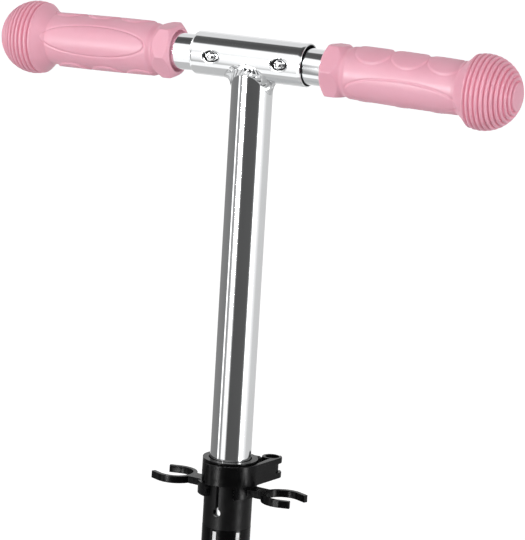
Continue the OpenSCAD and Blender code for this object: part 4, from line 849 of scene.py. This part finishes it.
# By height, -1 straight down and 1 straight up: (height, brightness, how far it covers the walls)
HEIGHTS = (
    (-1.0, 0.56, 1), (-0.765, 0.56, 1), (-0.735, 1.1, 1), (-0.54, 1.1, 1), (-0.47, 1.0, 0), (0.30, 1.0, 0),
    (0.42, 1.15, 1), (0.58, 1.15, 1), (0.61, 8.0, 1), (0.67, 8.0, 1), (0.70, 1.15, 1), (0.79, 1.15, 1),
    (0.83, 0.13, 1), (0.92, 0.075, 1), (1.0, 0.06, 1),
)
# The dark ceiling lies a little towards the camera's side
CEILING_SHIFT = -0.04
# The brightest that the ceiling and the floor are beyond the bar, and how fast the limit lifts before it
FAR_LIMIT, FRONT_RISE = 0.78, 80.0


def studio():
    world = bpy.data.worlds.new("studio")
    bpy.context.scene.world = world
    world.use_nodes = True
    tree = world.node_tree
    link = tree.links.new

    def math_node(kind, first, second=None):
        made = tree.nodes.new("ShaderNodeMath")
        made.operation = kind
        for socket, value in zip(made.inputs, (first, second)):
            if isinstance(value, bpy.types.NodeSocket):
                link(value, socket)
            elif value is not None:
                socket.default_value = value
        return made.outputs[0]

    def ramp(value, stops):
        made = tree.nodes.new("ShaderNodeValToRGB")
        elements = made.color_ramp.elements
        while len(elements) < len(stops):
            elements.new(0.5)
        for element, (place, _, _) in zip(elements, stops):
            element.position = place
        for element, (_, level, cover) in zip(elements, stops):
            element.color = (level, level, level, cover)
        link(value, made.inputs[0])
        return made

    plain = tree.nodes["Background"]
    plain.inputs["Color"].default_value = (1, 1, 1, 1)
    rays = tree.nodes.new("ShaderNodeLightPath")
    # to the camera the world is white, to surfaces it is a soft even light
    level = math_node("MULTIPLY_ADD", rays.outputs["Is Camera Ray"], 1 - AMBIENT)
    level.node.inputs[2].default_value = AMBIENT
    link(level, plain.inputs["Strength"])
    split = tree.nodes.new("ShaderNodeSeparateXYZ")
    link(tree.nodes.new("ShaderNodeTexCoord").outputs["Generated"], split.inputs[0])
    forward = math_node("MULTIPLY", split.outputs["Y"], -1.0)
    compass = math_node("ARCTAN2", split.outputs["X"], forward)
    turned_by = math_node("SUBTRACT", compass, math.radians(STUDIO_FACING - 180))
    turns = math_node("DIVIDE", turned_by, 2 * math.pi)
    walls = ramp(math_node("FRACT", turns), [((angle + 180) / 360, level, 1) for angle, level in WALLS])
    shifted = math_node("SUBTRACT", split.outputs["Z"], math_node("MULTIPLY", forward, CEILING_SHIFT))
    height = math_node("DIVIDE", math_node("ADD", shifted, 1.0), 2.0)
    heights = ramp(height, [((z + 1) / 2, level, cover) for z, level, cover in HEIGHTS])
    front = math_node("MAXIMUM", math_node("MULTIPLY", forward, FRONT_RISE), 0.0)
    lids = math_node("MINIMUM", heights.outputs["Color"], math_node("ADD", front, FAR_LIMIT))
    seen = tree.nodes.new("ShaderNodeMix")
    seen.data_type = "RGBA"
    link(heights.outputs["Alpha"], seen.inputs["Factor"])
    link(walls.outputs["Color"], seen.inputs["A"])
    link(lids, seen.inputs["B"])
    shiny = tree.nodes.new("ShaderNodeBackground")
    link(seen.outputs["Result"], shiny.inputs["Color"])
    both = tree.nodes.new("ShaderNodeMixShader")
    link(rays.outputs["Is Glossy Ray"], both.inputs[0])
    link(plain.outputs[0], both.inputs[1])
    link(shiny.outputs[0], both.inputs[2])
    link(both.outputs[0], tree.nodes["World Output"].inputs["Surface"])


def sun(name, azimuth, elevation, strength, spread, sheen=False):
    """A soft light from a compass angle, 0 being the camera's side. It lights either colour or sheen."""
    data = bpy.data.lights.new(name, "SUN")
    data.energy, data.angle = strength, math.radians(spread)
    obj = bpy.data.objects.new(name, data)
    bpy.context.scene.collection.objects.link(obj)
    a, e = math.radians(azimuth + STUDIO_FACING), math.radians(elevation)
    away = Vector((math.sin(a) * math.cos(e), -math.cos(a) * math.cos(e), math.sin(e)))
    obj.rotation_euler = away.to_track_quat("Z", "Y").to_euler()
    obj.visible_glossy, obj.visible_diffuse = sheen, not sheen


camera()
floor()
studio()
sun("key_left", -58, 9, 1.75, 50)
sun("key_right", 48, 9, 1.25, 50)
sun("sheen", -44, 3, 3.4, 18, sheen=True)
bpy.context.scene.view_settings.view_transform = "Standard"
